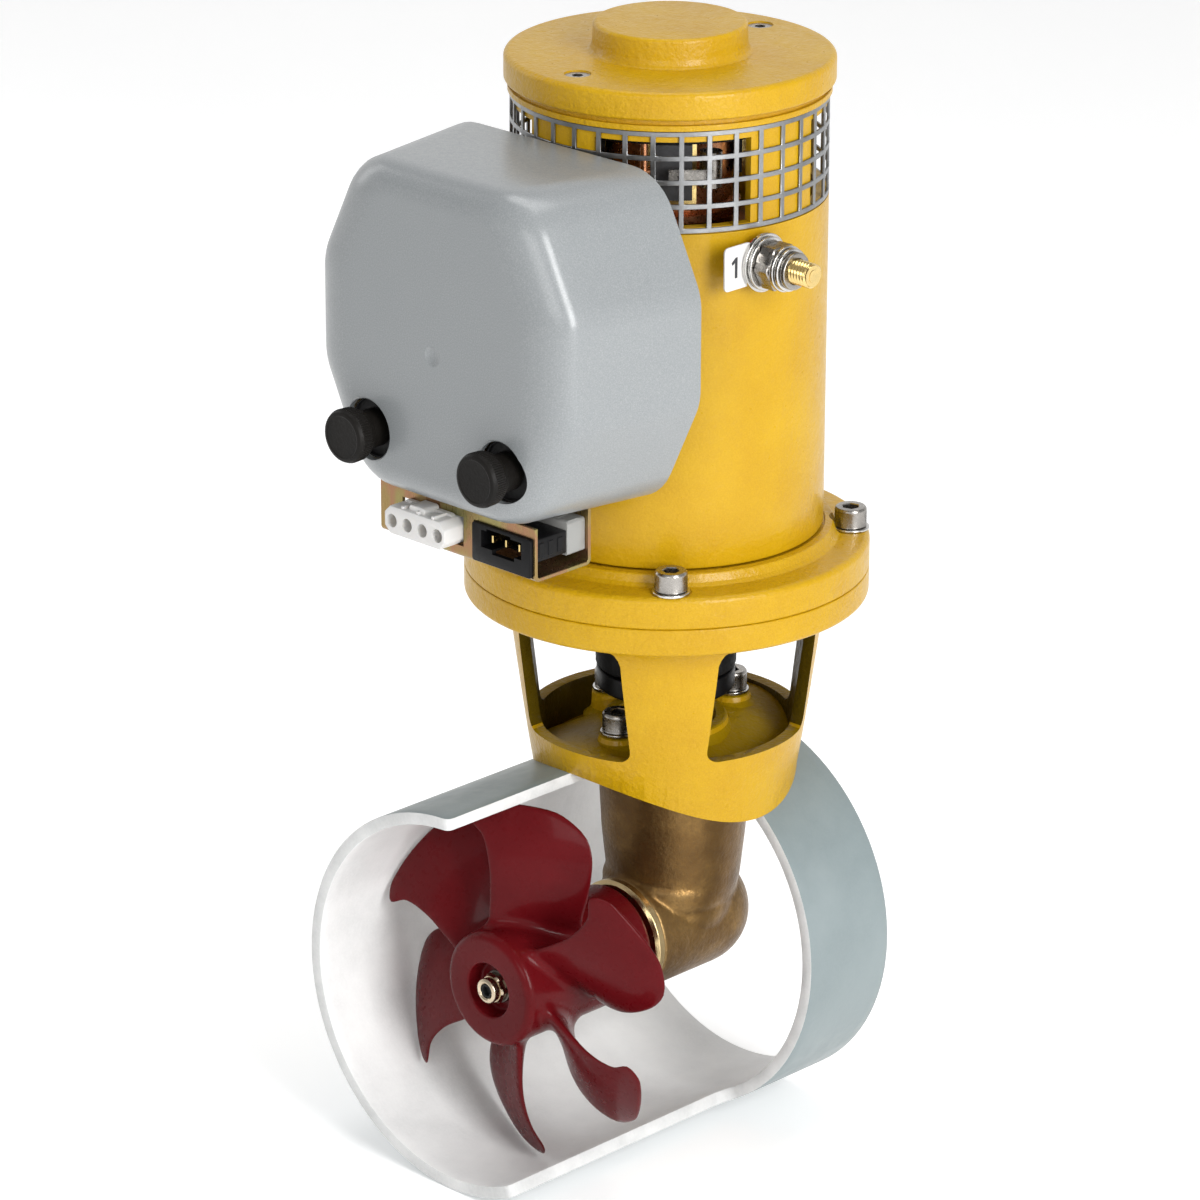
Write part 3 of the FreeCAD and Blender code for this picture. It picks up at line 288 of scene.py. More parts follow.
def cover_grey(name):
    mt, nt, b = mat_new(name)
    v = coords(nt)
    fine = tex_noise(nt, v, 1900, 2)
    big = tex_noise(nt, v, 22, 3)
    col = ramp(nt, fine, [(0.30, (0.196, 0.210, 0.216)), (0.52, (0.228, 0.242, 0.248)), (0.75, (0.284, 0.297, 0.300))])
    col = mixc(nt, remap(nt, big, 0.3, 0.7, 0.0, 0.18), col, (0.205, 0.222, 0.232))
    nt.links.new(col, b.inputs["Base Color"])
    nt.links.new(remap(nt, tex_noise(nt, v, 500, 3), 0.3, 0.7, 0.30, 0.40), b.inputs["Roughness"])
    b.inputs["Specular IOR Level"].default_value = 0.5
    b.inputs["Coat Weight"].default_value = 0.40
    b.inputs["Coat Roughness"].default_value = 0.20
    n1 = bump(nt, b, fine, 0.20, 0.00006)
    bump(nt, b, tex_noise(nt, v, 90, 2), 0.12, 0.0005, n1)
    return mt


def gelcoat(name, lo, md, hi, rough=(0.28, 0.42), scale=26, bump_s=0.25, coat=0.0):
    mt, nt, b = mat_new(name)
    v = coords(nt)
    big = tex_noise(nt, v, scale, 5, 0.6)
    col = ramp(nt, big, [(0.28, lo), (0.5, md), (0.72, hi)])
    speck = tex_noise(nt, v, 900, 2)
    col = mixc(nt, remap(nt, speck, 0.42, 0.72, 0.0, 0.25), col, hi)
    nt.links.new(col, b.inputs["Base Color"])
    nt.links.new(remap(nt, tex_noise(nt, v, 120, 4), 0.3, 0.7, rough[0], rough[1]), b.inputs["Roughness"])
    b.inputs["Coat Weight"].default_value = coat
    b.inputs["Coat Roughness"].default_value = 0.2
    n1 = bump(nt, b, tex_noise(nt, v, 260, 3), bump_s, 0.0003)
    bump(nt, b, big, 0.25, 0.0012, n1)
    return mt


def prop_red(name):
    mt, nt, b = mat_new(name)
    v = coords(nt)
    big = tex_noise(nt, v, 30, 3)
    col = ramp(nt, big, [(0.3, (0.074, 0.0022, 0.0036)), (0.55, (0.090, 0.003, 0.0048)), (0.75, (0.106, 0.004, 0.0062))])
    col = mixc(nt, remap(nt, tex_noise(nt, v, 1400, 2), 0.45, 0.75, 0.0, 0.20), col, (0.15, 0.008, 0.011))
    nt.links.new(col, b.inputs["Base Color"])
    nt.links.new(remap(nt, tex_noise(nt, v, 300, 3), 0.3, 0.7, 0.24, 0.36), b.inputs["Roughness"])
    b.inputs["Specular IOR Level"].default_value = 0.07
    b.inputs["Coat Weight"].default_value = 0.10
    b.inputs["Coat Roughness"].default_value = 0.09
    bump(nt, b, tex_noise(nt, v, 420, 2), 0.05, 0.0001)
    return mt


def bronze(name):
    mt, nt, b = mat_new(name)
    v = coords(nt)
    big = tex_noise(nt, v, 42, 6, 0.62)
    grains = tex_noise(nt, v, 700, 4, 0.6)
    col = ramp(nt, big, [(0.26, (0.088, 0.043, 0.012)), (0.47, (0.165, 0.089, 0.026)), (0.63, (0.245, 0.142, 0.044)), (0.8, (0.34, 0.21, 0.070))])
    col = mixc(nt, remap(nt, grains, 0.38, 0.7, 0.0, 0.55), col, (0.135, 0.082, 0.032))
    pt = remap(nt, pointiness(nt), 0.50, 0.56, 0.0, 0.5)
    col = mixc(nt, pt, col, (0.42, 0.29, 0.13))
    nt.links.new(col, b.inputs["Base Color"])
    b.inputs["Metallic"].default_value = 0.80
    nt.links.new(remap(nt, grains, 0.3, 0.7, 0.30, 0.46), b.inputs["Roughness"])
    n1 = bump(nt, b, grains, 0.55, 0.00028)
    bump(nt, b, tex_noise(nt, v, 130, 4), 0.55, 0.0008, n1)
    return mt


def metal(name, col, rough=(0.22, 0.36), grain=(900, 900, 900), var=0.10, bump_s=0.15, metallic=1.0, aniso=0.0):
    mt, nt, b = mat_new(name)
    v = coords(nt, tuple(g / 100.0 for g in grain))
    n1 = tex_noise(nt, v, 100, 3)
    n2 = tex_noise(nt, coords(nt), 60, 4)
    lo = tuple(c * (1 - 2.2 * var) for c in col)
    hi = tuple(min(1, c * (1 + var)) for c in col)
    c1 = ramp(nt, n2, [(0.3, lo), (0.5, col), (0.72, hi)])
    c1 = mixc(nt, remap(nt, n1, 0.4, 0.75, 0.0, 0.35), c1, lo)
    nt.links.new(c1, b.inputs["Base Color"])
    b.inputs["Metallic"].default_value = metallic
    b.inputs["Anisotropic"].default_value = aniso
    nt.links.new(remap(nt, n1, 0.3, 0.7, rough[0], rough[1]), b.inputs["Roughness"])
    bump(nt, b, n1, bump_s, 0.00012)
    return mt


def plastic(name, col, rough=(0.35, 0.5), var=0.12, scale=700, bump_s=0.2, dist=0.00012, spec=0.5, trans=0.0, sss=0.0):
    mt, nt, b = mat_new(name)
    v = coords(nt)
    n1 = tex_noise(nt, v, scale, 3)
    n2 = tex_noise(nt, v, 45, 4)
    lo = tuple(c * (1 - var * 2) for c in col)
    hi = tuple(min(1, c * (1 + var)) for c in col)
    c1 = ramp(nt, n2, [(0.3, lo), (0.5, col), (0.75, hi)])
    c1 = mixc(nt, remap(nt, n1, 0.4, 0.75, 0.0, 0.3), c1, hi)
    nt.links.new(c1, b.inputs["Base Color"])
    nt.links.new(remap(nt, n1, 0.3, 0.7, rough[0], rough[1]), b.inputs["Roughness"])
    b.inputs["Specular IOR Level"].default_value = spec
    b.inputs["Transmission Weight"].default_value = trans
    b.inputs["Subsurface Weight"].default_value = sss
    b.inputs["Subsurface Radius"].default_value = (0.003, 0.0025, 0.002)
    bump(nt, b, n1, bump_s, dist)
    return mt


def zinc_yellow(name):
    """Yellow chromate over zinc: straw, pink and green iridescence."""
    mt, nt, b = mat_new(name)
    v = coords(nt)
    band = tex_noise(nt, v, 34, 3, 0.5, 0.6)
    col = ramp(nt, band, [(0.30, (0.27, 0.185, 0.062)), (0.42, (0.32, 0.22, 0.09)), (0.50, (0.34, 0.18, 0.10)),
                          (0.58, (0.30, 0.25, 0.095)), (0.68, (0.22, 0.225, 0.11)), (0.8, (0.31, 0.23, 0.085))])
    nt.links.new(col, b.inputs["Base Color"])
    b.inputs["Metallic"].default_value = 0.92
    g = tex_noise(nt, coords(nt, (1, 1, 0.08)), 1500, 2)
    nt.links.new(remap(nt, g, 0.3, 0.7, 0.24, 0.38), b.inputs["Roughness"])
    bump(nt, b, g, 0.12, 0.0001)
    return mt


M = dict(
    yellow=paint_yellow("paint_yellow_cast", 1.0),
    yellow_tube=paint_yellow("paint_yellow_tube", 0.6),
    # darker copies of the yellow paint: painted shade for the bowl's inner wall and its floor
    yellow_in=paint_yellow("paint_yellow_inner_wall", 1.0, (0.17, 0.19, 0.8), 0.08, 0.0),
    yellow_floor=paint_yellow("paint_yellow_bowl", 1.1, (0.60, 0.64, 0.7), 0.03, 0.04),
    grey=cover_grey("cover_grey_moulding"),
    tunnel_out=gelcoat("gelcoat_blue_grey", (0.182, 0.222, 0.229), (0.204, 0.246, 0.253), (0.228, 0.270, 0.277), (0.30, 0.44), 30, 0.18),
    # darker copy of the white laminate: painted shade on the cut rim
    tunnel_rim=gelcoat("laminate_edge", (0.50, 0.505, 0.50), (0.60, 0.605, 0.60), (0.70, 0.70, 0.69), (0.5, 0.65), 60, 0.5),
    tunnel_in=gelcoat("laminate_white", (0.62, 0.625, 0.62), (0.74, 0.74, 0.735), (0.82, 0.82, 0.81), (0.35, 0.5), 22, 0.35),
    red=prop_red("propeller_red"),
    bronze=bronze("cast_bronze"),
    bronze_bright=metal("machined_bronze", (0.72, 0.56, 0.30), (0.16, 0.28), (300, 4000, 300), 0.10, 0.3),
    stainless=metal("stainless", (0.37, 0.35, 0.325), (0.22, 0.36), (900, 900, 900), 0.12, 0.2),
    stainless_dark=metal("stainless_knurl", (0.175, 0.158, 0.140), (0.30, 0.45), (900, 900, 900), 0.16, 0.3),
    washer=metal("zinc_washer", (0.62, 0.61, 0.59), (0.16, 0.28), (900, 900, 900), 0.08, 0.2),
    guard=metal("galvanised_sheet", (0.31, 0.315, 0.32), (0.30, 0.46), (900, 900, 900), 0.14, 0.25),
    steel=metal("ground_steel", (0.45, 0.45, 0.45), (0.20, 0.34), (500, 500, 3000), 0.10, 0.2),
    lams=metal("laminated_core", (0.22, 0.21, 0.20), (0.4, 0.55), (100, 100, 9000), 0.2, 0.8),
    copper=metal("copper", (0.72, 0.33, 0.17), (0.22, 0.40), (800, 800, 800), 0.16, 0.3),
    winding=metal("enamelled_copper", (0.42, 0.15, 0.06), (0.25, 0.42), (700, 700, 700), 0.22, 0.6),
    nickel=metal("nickel_gold", (0.66, 0.55, 0.40), (0.18, 0.30), (900, 900, 900), 0.12, 0.2),
    brass=metal("brass", (0.78, 0.58, 0.24), (0.14, 0.26), (700, 700, 700), 0.10, 0.2),
    carbon=metal("graphite", (0.055, 0.055, 0.058), (0.42, 0.6), (900, 900, 900), 0.2, 0.3, 0.3),
    zinc=zinc_yellow("yellow_zinc_sheet"),
    knob=plastic("knob_black", (0.0065, 0.0055, 0.0045), (0.40, 0.56), 0.2, 900, 0.7, 0.00018, 0.16),
    rubber=plastic("rubber_black", (0.007, 0.007, 0.007), (0.5, 0.68), 0.25, 600, 0.4, 0.0002, 0.14),
    black=plastic("plastic_black", (0.0045, 0.0045, 0.005), (0.30, 0.46), 0.2, 800, 0.2, 0.00012, 0.16),
    # flat black standing in for the shade of hollows: painted shade
    dark=plastic("cavity_black", (0.006, 0.006, 0.006), (0.6, 0.8), 0.3, 500, 0.2),
    white=plastic("nylon_white", (0.66, 0.65, 0.635), (0.34, 0.46), 0.05, 500, 0.2, 0.00012, 0.5, 0.0, 0.15),
    clear=plastic("clear_cover", (0.44, 0.44, 0.42), (0.14, 0.24), 0.05, 400, 0.1, 0.00008, 0.5, 0.45),
    redp=plastic("insulator_red", (0.42, 0.016, 0.012), (0.28, 0.4), 0.12, 500, 0.2),
    ink=plastic("tag_ink", (0.03, 0.03, 0.035), (0.5, 0.6), 0.2, 500, 0.1),
)


# -------------------------------------------------------------- mesh building
PIECES = []


def link(name, me, mats, body, slot, node=None, angle=32, extra=()):
    o = bpy.data.objects.new(name, me)
    scene.collection.objects.link(o)
    for mt in (mats if isinstance(mats, (list, tuple)) else [mats]):
        me.materials.append(M[mt])
    finish_mesh(o, angle)
    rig.ride(o, body)
    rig.slot(o, slot)
    if node:
        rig.replaces(o, *(node if isinstance(node, (list, tuple)) else [node]))
    PIECES.append(o)
    return o


def finish_mesh(o, angle):
    me = o.data
    bm = bmesh.new()                                   # drop slivers left by the cuts
    bm.from_mesh(me)
    bmesh.ops.remove_doubles(bm, verts=bm.verts, dist=4e-6)
    bmesh.ops.dissolve_degenerate(bm, dist=4e-6, edges=bm.edges)
    bm.faces.index_update()
    seen = set()
    crumbs = []
    for f in bm.faces:
        if f.index in seen:
            continue
        seen.add(f.index)
        isle, todo = [], [f]
        while todo:
            g = todo.pop()
            isle.append(g)
            for e in g.edges:
                if len(e.link_faces) == 2:
                    for h in e.link_faces:
                        if h.index not in seen:
                            seen.add(h.index)
                            todo.append(h)
        if len(isle) < 5 and sum(g.calc_area() for g in isle) < 2e-7:
            crumbs += isle
    bmesh.ops.delete(bm, geom=crumbs, context="FACES")
    bmesh.ops.delete(bm, geom=[v for v in bm.verts if not v.link_faces], context="VERTS")
    bm.to_mesh(me)
    bm.free()
    for p in me.polygons:
        p.use_smooth = True
    me.set_sharp_from_angle(angle=rad(angle))


def mesh_from(name, verts, faces, fmat=None, scale=MM):
    me = bpy.data.meshes.new(name)
    me.from_pydata([(v[0] * scale, v[1] * scale, v[2] * scale) for v in verts], [], faces)
    if fmat:
        me.polygons.foreach_set("material_index", fmat)
    me.validate()
    me.update()
    return me


def tidy(me, dist=0.00001):
    bm = bmesh.new()
    bm.from_mesh(me)
    bmesh.ops.remove_doubles(bm, verts=bm.verts, dist=dist)
    bmesh.ops.dissolve_degenerate(bm, dist=dist * 0.5, edges=bm.edges)
    bmesh.ops.recalc_face_normals(bm, faces=bm.faces)
    bm.to_mesh(me)
    bm.free()
    return me


def tmp_obj(me, name="tmp"):
    o = bpy.data.objects.new(name, me)
    scene.collection.objects.link(o)
    return o


def baked(o, drop=True):
    """The evaluated mesh of o, and o is dropped."""
    dg = bpy.context.evaluated_depsgraph_get()
    dg.update()
    me = bpy.data.meshes.new_from_object(o.evaluated_get(dg))
    if drop:
        bpy.data.objects.remove(o)
    return me


def round_profile(pts, steps=4):
    """pts: (r, z) or (r, z, fillet). Returns the polyline with arcs in place of filleted corners."""
    out = []
    n = len(pts)
    for i, p in enumerate(pts):
        f = p[2] if len(p) > 2 else 0
        if not f:
            out.append((p[0], p[1]))
            continue
        a, b, c = Vector(pts[i - 1][:2]), Vector(p[:2]), Vector(pts[(i + 1) % n][:2])
        u, w = (a - b), (c - b)
        lu, lw = u.length, w.length
        u.normalize()
        w.normalize()
        ang = u.angle(w)
        t = min(f / math.tan(ang / 2), lu * 0.49, lw * 0.49)
        r = t * math.tan(ang / 2)
        mid = (u + w).normalized()
        cc = b + mid * (r / math.sin(ang / 2))
        s0, s1 = b + u * t, b + w * t
        a0 = math.atan2(s0.y - cc.y, s0.x - cc.x)
        a1 = math.atan2(s1.y - cc.y, s1.x - cc.x)
        da = (a1 - a0 + math.pi) % TAU - math.pi
        k = max(2, int(steps * abs(da) / 1.0) + 1)
        for j in range(k + 1):
            q = a0 + da * j / k
            out.append((cc.x + r * math.cos(q), cc.y + r * math.sin(q)))
    return out


def lathe(pts, seg=96, axis="z", steps=4, closed=True, subdiv=None):
    """Verts and faces of a profile turned about Z or Y; closed: ring profile or solid meeting the axis."""
    pr = round_profile(pts, steps)
    if subdiv:
        q = []
        for i in range(len(pr)):
            a, b = Vector(pr[i]), Vector(pr[(i + 1) % len(pr)])
            k = max(1, int((b - a).length / subdiv))
            for j in range(k):
                c = a.lerp(b, j / k)
                q.append((c.x, c.y))
        pr = q
    verts, faces = [], []
    n = len(pr)
    for s in range(seg):
        a = TAU * s / seg
        for r, z in pr:
            x, y = r * math.cos(a), r * math.sin(a)
            verts.append((x, y, z) if axis == "z" else (x, z, y))
    for s in range(seg):
        s2 = (s + 1) % seg
        for i in range(n if closed else n - 1):
            j = (i + 1) % n
            if pr[i][0] < 1e-6 and pr[j][0] < 1e-6:
                continue
            faces.append((s * n + i, s2 * n + i, s2 * n + j, s * n + j))
    return verts, faces


def lathe_mesh(name, pts, seg=96, axis="z", steps=4, pos=(0, 0, 0), subdiv=None):
    v, f = lathe(pts, seg, axis, steps, True, subdiv)
    v = [(a + pos[0], b + pos[1], c + pos[2]) for a, b, c in v]
    return tidy(mesh_from(name, v, f))


def box_mesh(name, lo, hi, bev=0.0, seg=2):
    bm = bmesh.new()
    bmesh.ops.create_cube(bm, size=1.0)
    for v in bm.verts:
        for k in range(3):
            v.co[k] = (lo[k] if v.co[k] < 0 else hi[k]) * MM
    if bev:
        bmesh.ops.bevel(bm, geom=list(bm.edges), offset=bev * MM, segments=seg, profile=0.5, affect="EDGES")
    bmesh.ops.recalc_face_normals(bm, faces=bm.faces)
    me = bpy.data.meshes.new(name)
    bm.to_mesh(me)
    bm.free()
    return me


def cyl_mesh(name, r, a, b, seg=48, bev=0.0):
    """Cylinder between points a and b (mm)."""
    a, b = Vector(a), Vector(b)
    L = (b - a).length
    pts = [(0, 0), (r, 0, bev), (r, L, bev), (0, L)] if bev else [(0, 0), (r, 0), (r, L), (0, L)]
    v, f = lathe(pts, seg)
    q = (b - a).to_track_quat("Z", "Y")
    v = [tuple(q @ Vector(p) + a) for p in v]
    return tidy(mesh_from(name, v, f))


def prism_mesh(name, pts2, z0, z1, bev=0.0, seg=2, plane="xy"):
    """Extruded outline. plane xy: z0..z1 along Z; xz: along Y; yz: along X."""
    n = len(pts2)

    def P(p, h):
        return {"xy": (p[0], p[1], h), "xz": (p[0], h, p[1]), "yz": (h, p[0], p[1])}[plane]
    verts = [P(p, z0) for p in pts2] + [P(p, z1) for p in pts2]
    faces = [tuple(range(n)), tuple(range(2 * n - 1, n - 1, -1))]
    faces += [(i, (i + 1) % n, n + (i + 1) % n, n + i) for i in range(n)]
    me = tidy(mesh_from(name, verts, faces))
    if bev:
        bm = bmesh.new()
        bm.from_mesh(me)
        ed = [e for e in bm.edges if len(e.link_faces) == 2 and e.calc_face_angle(0) > rad(30)]
        bmesh.ops.bevel(bm, geom=ed, offset=bev * MM, segments=seg, profile=0.5, affect="EDGES", clamp_overlap=True)
        bm.to_mesh(me)
        bm.free()
    return me


def join(name, *meshes):
    bm = bmesh.new()
    for k, me in enumerate(meshes):
        if isinstance(me, tuple):
            me, idx = me
        else:
            idx = None
        n0 = len(bm.faces)
        bm.from_mesh(me)
        bm.faces.ensure_lookup_table()
        if idx is not None:
            for f in bm.faces[n0:]:
                f.material_index = idx
    out = bpy.data.meshes.new(name)
    bm.to_mesh(out)
    bm.free()
    return out


def moved(me, mat):
    m2 = me.copy()
    m2.transform(mat)
    return m2


def turned(me, deg, axis="Z", pos=(0, 0, 0)):
    return moved(me, Matrix.Translation(Vector(pos) * MM) @ Matrix.Rotation(rad(deg), 4, axis))


def boolean(me, cutters, op="DIFFERENCE"):
    o = tmp_obj(me, "bool_base")
    cs = []
    for i, c in enumerate(cutters):
        co = tmp_obj(c, "bool_cut%d" % i)
        co.hide_render = True
        cs.append(co)
        md = o.modifiers.new("b%d" % i, "BOOLEAN")
        md.operation = op
        md.solver = "EXACT"
        md.object = co
    out = baked(o)
    for c in cs:
        bpy.data.objects.remove(c)
    return out


def bevelled(me, width, seg=2, angle=30):
    o = tmp_obj(me)
    md = o.modifiers.new("bevel", "BEVEL")
    md.width = width * MM
    md.segments = seg
    md.limit_method = "ANGLE"
    md.angle_limit = rad(angle)
    md.harden_normals = False
    return baked(o)


def cast(me, voxel, smooth=6, factor=0.5):
    """A casting: parts merged by voxels, edges softened."""
    o = tmp_obj(me)
    md = o.modifiers.new("remesh", "REMESH")
    md.mode = "VOXEL"
    md.voxel_size = voxel * MM
    md.adaptivity = 0.0
    md.use_smooth_shade = True
    if smooth:
        sm = o.modifiers.new("smooth", "SMOOTH")
        sm.factor = factor
        sm.iterations = smooth
    return baked(o)


def thin(me, ratio):
    o = tmp_obj(me)
    md = o.modifiers.new("dec", "DECIMATE")
    md.ratio = ratio
    return baked(o)


def sector_mesh(name, ri, ro, a0, a1, z0, z1, seg=12, bev=0.0):
    pts = [(ri * math.cos(rad(a0 + (a1 - a0) * k / seg)), ri * math.sin(rad(a0 + (a1 - a0) * k / seg))) for k in range(seg + 1)]
    pts += [(ro * math.cos(rad(a1 + (a0 - a1) * k / seg)), ro * math.sin(rad(a1 + (a0 - a1) * k / seg))) for k in range(seg + 1)]
    return prism_mesh(name, pts, z0, z1, bev)


# --------------------------------------------------------------------- tunnel
def arc_pts(cx, cy, r, a0, a1, n):
    return [(cx + r * math.cos(rad(a0 + (a1 - a0) * k / n)), cy + r * math.sin(rad(a0 + (a1 - a0) * k / n))) for k in range(n + 1)]


def tunnel():
    """Developed sheet (arc length at radius 80, y) with rounded window corners, wrapped to a tube wall."""
    RI, RO, K = 75.0, 80.0, 80.0 * math.pi / 180
    F, B, W = -123.0, 48.0, 2.0
    A0, A1 = 296.0 * K, 450.0 * K                 # window between these, ahead of W
    L, R = 180.0 * K, 540.0 * K
    rc, ro = 7.0, 3.0
    loop = [(L, F)]
    loop += arc_pts(A0 - ro, F + ro, ro, -90, 0, 4)
    loop += arc_pts(A0 + rc, W - rc, rc, 180, 90, 6)
    loop += arc_pts(A1 - rc, W - rc, rc, 90, 0, 6)
    loop += arc_pts(A1 + ro, F + ro, ro, 180, 270, 4)
    loop += [(R, F), (R, B), (L, B)]
    # resample the long straight runs
    step = 5.0
    fine = []
    for i in range(len(loop)):
        a, b = Vector(loop[i]), Vector(loop[(i + 1) % len(loop)])
        n = max(1, int(round((b - a).length / step)))
        for k in range(n):
            fine.append(a.lerp(b, k / n))
    inner = []
    nx, ny = int((R - L) / step), int((B - F) / step)

    def inside(p):
        return not (A0 - 3 < p[0] < A1 + 3 and p[1] < W + 3)
    for i in range(1, nx):
        for j in range(1, ny):
            p = (L + (R - L) * i / nx, F + (B - F) * j / ny)
            if inside(p):
                inner.append(Vector(p))
    allp = fine + inner
    edges = [(i, (i + 1) % len(fine)) for i in range(len(fine))]
    vs, _, fs, _, _, _ = geometry.delaunay_2d_cdt(allp, edges, [], 1, 1e-5)

    def inpoly(x, y):
        return not (A0 < x < A1 and y < W) or (
            math.hypot(x - (A0 + rc), y - (W - rc)) > rc and x < A0 + rc and y > W - rc) or (
            math.hypot(x - (A1 - rc), y - (W - rc)) > rc and x > A1 - rc and y > W - rc)
    tri = []
    for f in fs:
        cx = sum(vs[i].x for i in f) / 3
        cy = sum(vs[i].y for i in f) / 3
        if inpoly(cx, cy):
            tri.append(f)
    verts, faces, fm = [], [], []
    for rr in (RO, RI):
        for v in vs:
            a = v.x / K
            verts.append((rr * math.cos(rad(a)), v.y, rr * math.sin(rad(a))))
    nv = len(vs)
    count = {}
    for f in tri:
        faces.append(tuple(f))
        fm.append(0)
        faces.append(tuple(nv + i for i in reversed(f)))
        fm.append(1)
        for k in range(3):
            e = (f[k], f[(k + 1) % 3])
            count[frozenset(e)] = count.get(frozenset(e), []) + [e]
    for key, lst in count.items():
        if len(lst) == 1:
            i, j = lst[0]
            if abs(vs[i].x - L) < 1e-3 and abs(vs[j].x - L) < 1e-3:
                continue
            if abs(vs[i].x - R) < 1e-3 and abs(vs[j].x - R) < 1e-3:
                continue
            faces.append((j, i, nv + i, nv + j))
            fm.append(1)
    me = mesh_from("tunnel_shell", verts, faces, fm)
    bm = bmesh.new()
    bm.from_mesh(me)
    bmesh.ops.remove_doubles(bm, verts=bm.verts, dist=1e-5)
    bmesh.ops.recalc_face_normals(bm, faces=bm.faces)
    sharp = [e for e in bm.edges if len(e.link_faces) == 2 and e.calc_face_angle(0) > rad(50)]
    bmesh.ops.bevel(bm, geom=sharp, offset=0.7 * MM, segments=2, profile=0.5, affect="EDGES", clamp_overlap=True)
    bm.to_mesh(me)
    bm.free()
    # every face nearer the outer wall and facing out is blue-grey, faces facing in are laminate, and the rest (cut rim
    # and window edges) takes a darker copy of the laminate: painted shade
    for p in me.polygons:
        c = p.center
        rr = math.hypot(c.x, c.z)
        n = p.normal
        radial = (n.x * c.x + n.z * c.z) / max(rr, 1e-9)
        p.material_index = 0 if (radial > 0.75 and rr > 0.0785) else (1 if radial < -0.75 else 2)
    return link("tunnel_shell", me, ["tunnel_out", "tunnel_in", "tunnel_rim"], "base", "tunnel_gelcoat", "tunnel", 38)


tunnel()


# ------------------------------------------------------------ support bracket
def bracket():
    outer = [(0, 58), (52.6, 58), (53.6, 71), (56.3, 88), (58.6, 104), (61.6, 126), (62.4, 133), (64.0, 138.5), (66.8, 142.4),
             (71.5, 144.7), (76, 145.5), (81.2, 145.5, 2.2), (81.2, 157.0, 0.6), (0, 157.0)]
    v, f = lathe(outer, 144)
    body = tidy(mesh_from("b0", v, f))
    inner = [(0, 50), (48.2, 50), (49.4, 75), (51.0, 88), (53.2, 104), (56.4, 126), (56.9, 138), (55.4, 142.4), (51, 144.6), (45, 146.5), (45, 160), (0, 160)]
    v, f = lathe(inner, 144)
    hollow = tidy(mesh_from("b1", v, f))
    dome = cyl_mesh("b2", 89.0, (0, 120, 0), (0, -120, 0), 180)
    cavity = boolean(hollow, [dome])
    cutters = [cavity]
    hw, z0, z1 = 28.3, 90.5, 142.5
    prof = []
    prof += arc_pts(hw - 8.5, z1 - 8.5, 8.5, 0, 90, 6)
    prof += arc_pts(-hw + 8.5, z1 - 8.5, 8.5, 90, 180, 6)
    prof += arc_pts(-hw + 5.0, z0 + 5.0, 5.0, 180, 270, 5)
    prof += arc_pts(hw - 5.0, z0 + 5.0, 5.0, 270, 360, 5)
    for plane in ("xz", "yz"):
        for s in (-1, 1):
            lo, hi = (34, 100) if s > 0 else (-100, -34)
            cutters.append(prism_mesh("bw", prof, lo, hi, 0, 2, plane))
    for sx in (-1, 1):
        for sy in (-1, 1):
            x, y = 73.5 * math.cos(rad(45)) * sx, 73.5 * math.sin(rad(45)) * sy
            cutters.append(cyl_mesh("bh", 4.3, (x, y, 140), (x, y, 165), 24))
    cutters.append(cyl_mesh("b3", 80.0, (0, 120, 0), (0, -120, 0), 240))
    cutters.append(cyl_mesh("bn", 20.0, (0, 0, 40), (0, 0, 120), 64))
    shell = bevelled(boolean(body, cutters), 0.9, 3, 34)
    parts = [shell]
    tube = cyl_mesh("b6", 80.2, (0, 120, 0), (0, -120, 0), 180)
    for x, y in ((4.5, -32), (4.5, 34), (-32, 1)):
        zf = math.sqrt(89.0 ** 2 - x * x)
        top = 92.0
        prof = [(0, 60), (9.0, 60), (11.2, zf - 2.0), (9.0, zf - 0.3, 1.5), (7.9, zf + 1.6, 0.6), (7.5, top, 0.6), (0, top)] if x < 0 else [
            (0, 60), (10.0, 60), (10.6, zf - 1.0), (8.4, zf + 0.4, 1.0), (7.5, top, 0.8), (0, top)]
        parts.append(boolean(lathe_mesh("bb", prof, 48, pos=(x, y, 0)), [tube.copy()]))
    collar = lathe_mesh("bc", [(20.1, 50), (28.6, 50), (28.6, 84), (25.6, 88.0, 1.4), (25.0, 90.6, 1.2), (20.1, 90.6, 0.8)], 96)
    parts.append(boolean(collar, [tube.copy()]))
    verts, faces = [], []
    nr, ns, r0, r1 = 22, 144, 26.0, 50.4
    for R, in ((89.14,), (88.2,)):
        for i in range(nr + 1):
            q = r0 + (r1 - r0) * i / nr
            for k in range(ns):
                a = TAU * k / ns
                x, y = q * math.cos(a), q * math.sin(a)
                verts.append((x, y, math.sqrt(R * R - x * x)))
    N = (nr + 1) * ns
    for i in range(nr):
        for k in range(ns):
            k2 = (k + 1) % ns
            a, b, c, d = i * ns + k, i * ns + k2, (i + 1) * ns + k2, (i + 1) * ns + k
            faces += [(a, d, c, b), (N + a, N + b, N + c, N + d)]
    for k in range(ns):
        k2 = (k + 1) % ns
        faces += [(k2, k, N + k, N + k2), (nr * ns + k, nr * ns + k2, N + nr * ns + k2, N + nr * ns + k)]
    parts.append(tidy(mesh_from("bowl_skin", verts, faces), 1e-7))
    me = join("bracket_casting", *parts)
    # inward-facing faces of the bowl wall and struts, and the bowl floor, take the darker copies: painted shade inside
    # the bowl
    for p in me.polygons:
        c, n = p.center, p.normal
        rr = math.hypot(c.x, c.y)
        rd = (n.x * c.x + n.y * c.y) / max(rr, 1e-9)
        if rr < 0.0605 and 0.080 < c.z < 0.1462 and rd < -0.30 and rr > 0.047:
            p.material_index = 1
        elif n.z > 0.35 and rr < 0.054 and c.z < 0.096:
            p.material_index = 2
    return link("bracket_casting", me, ["yellow", "yellow_in", "yellow_floor"], "base", "yellow_paint", "support_bracket", 40)


bracket()


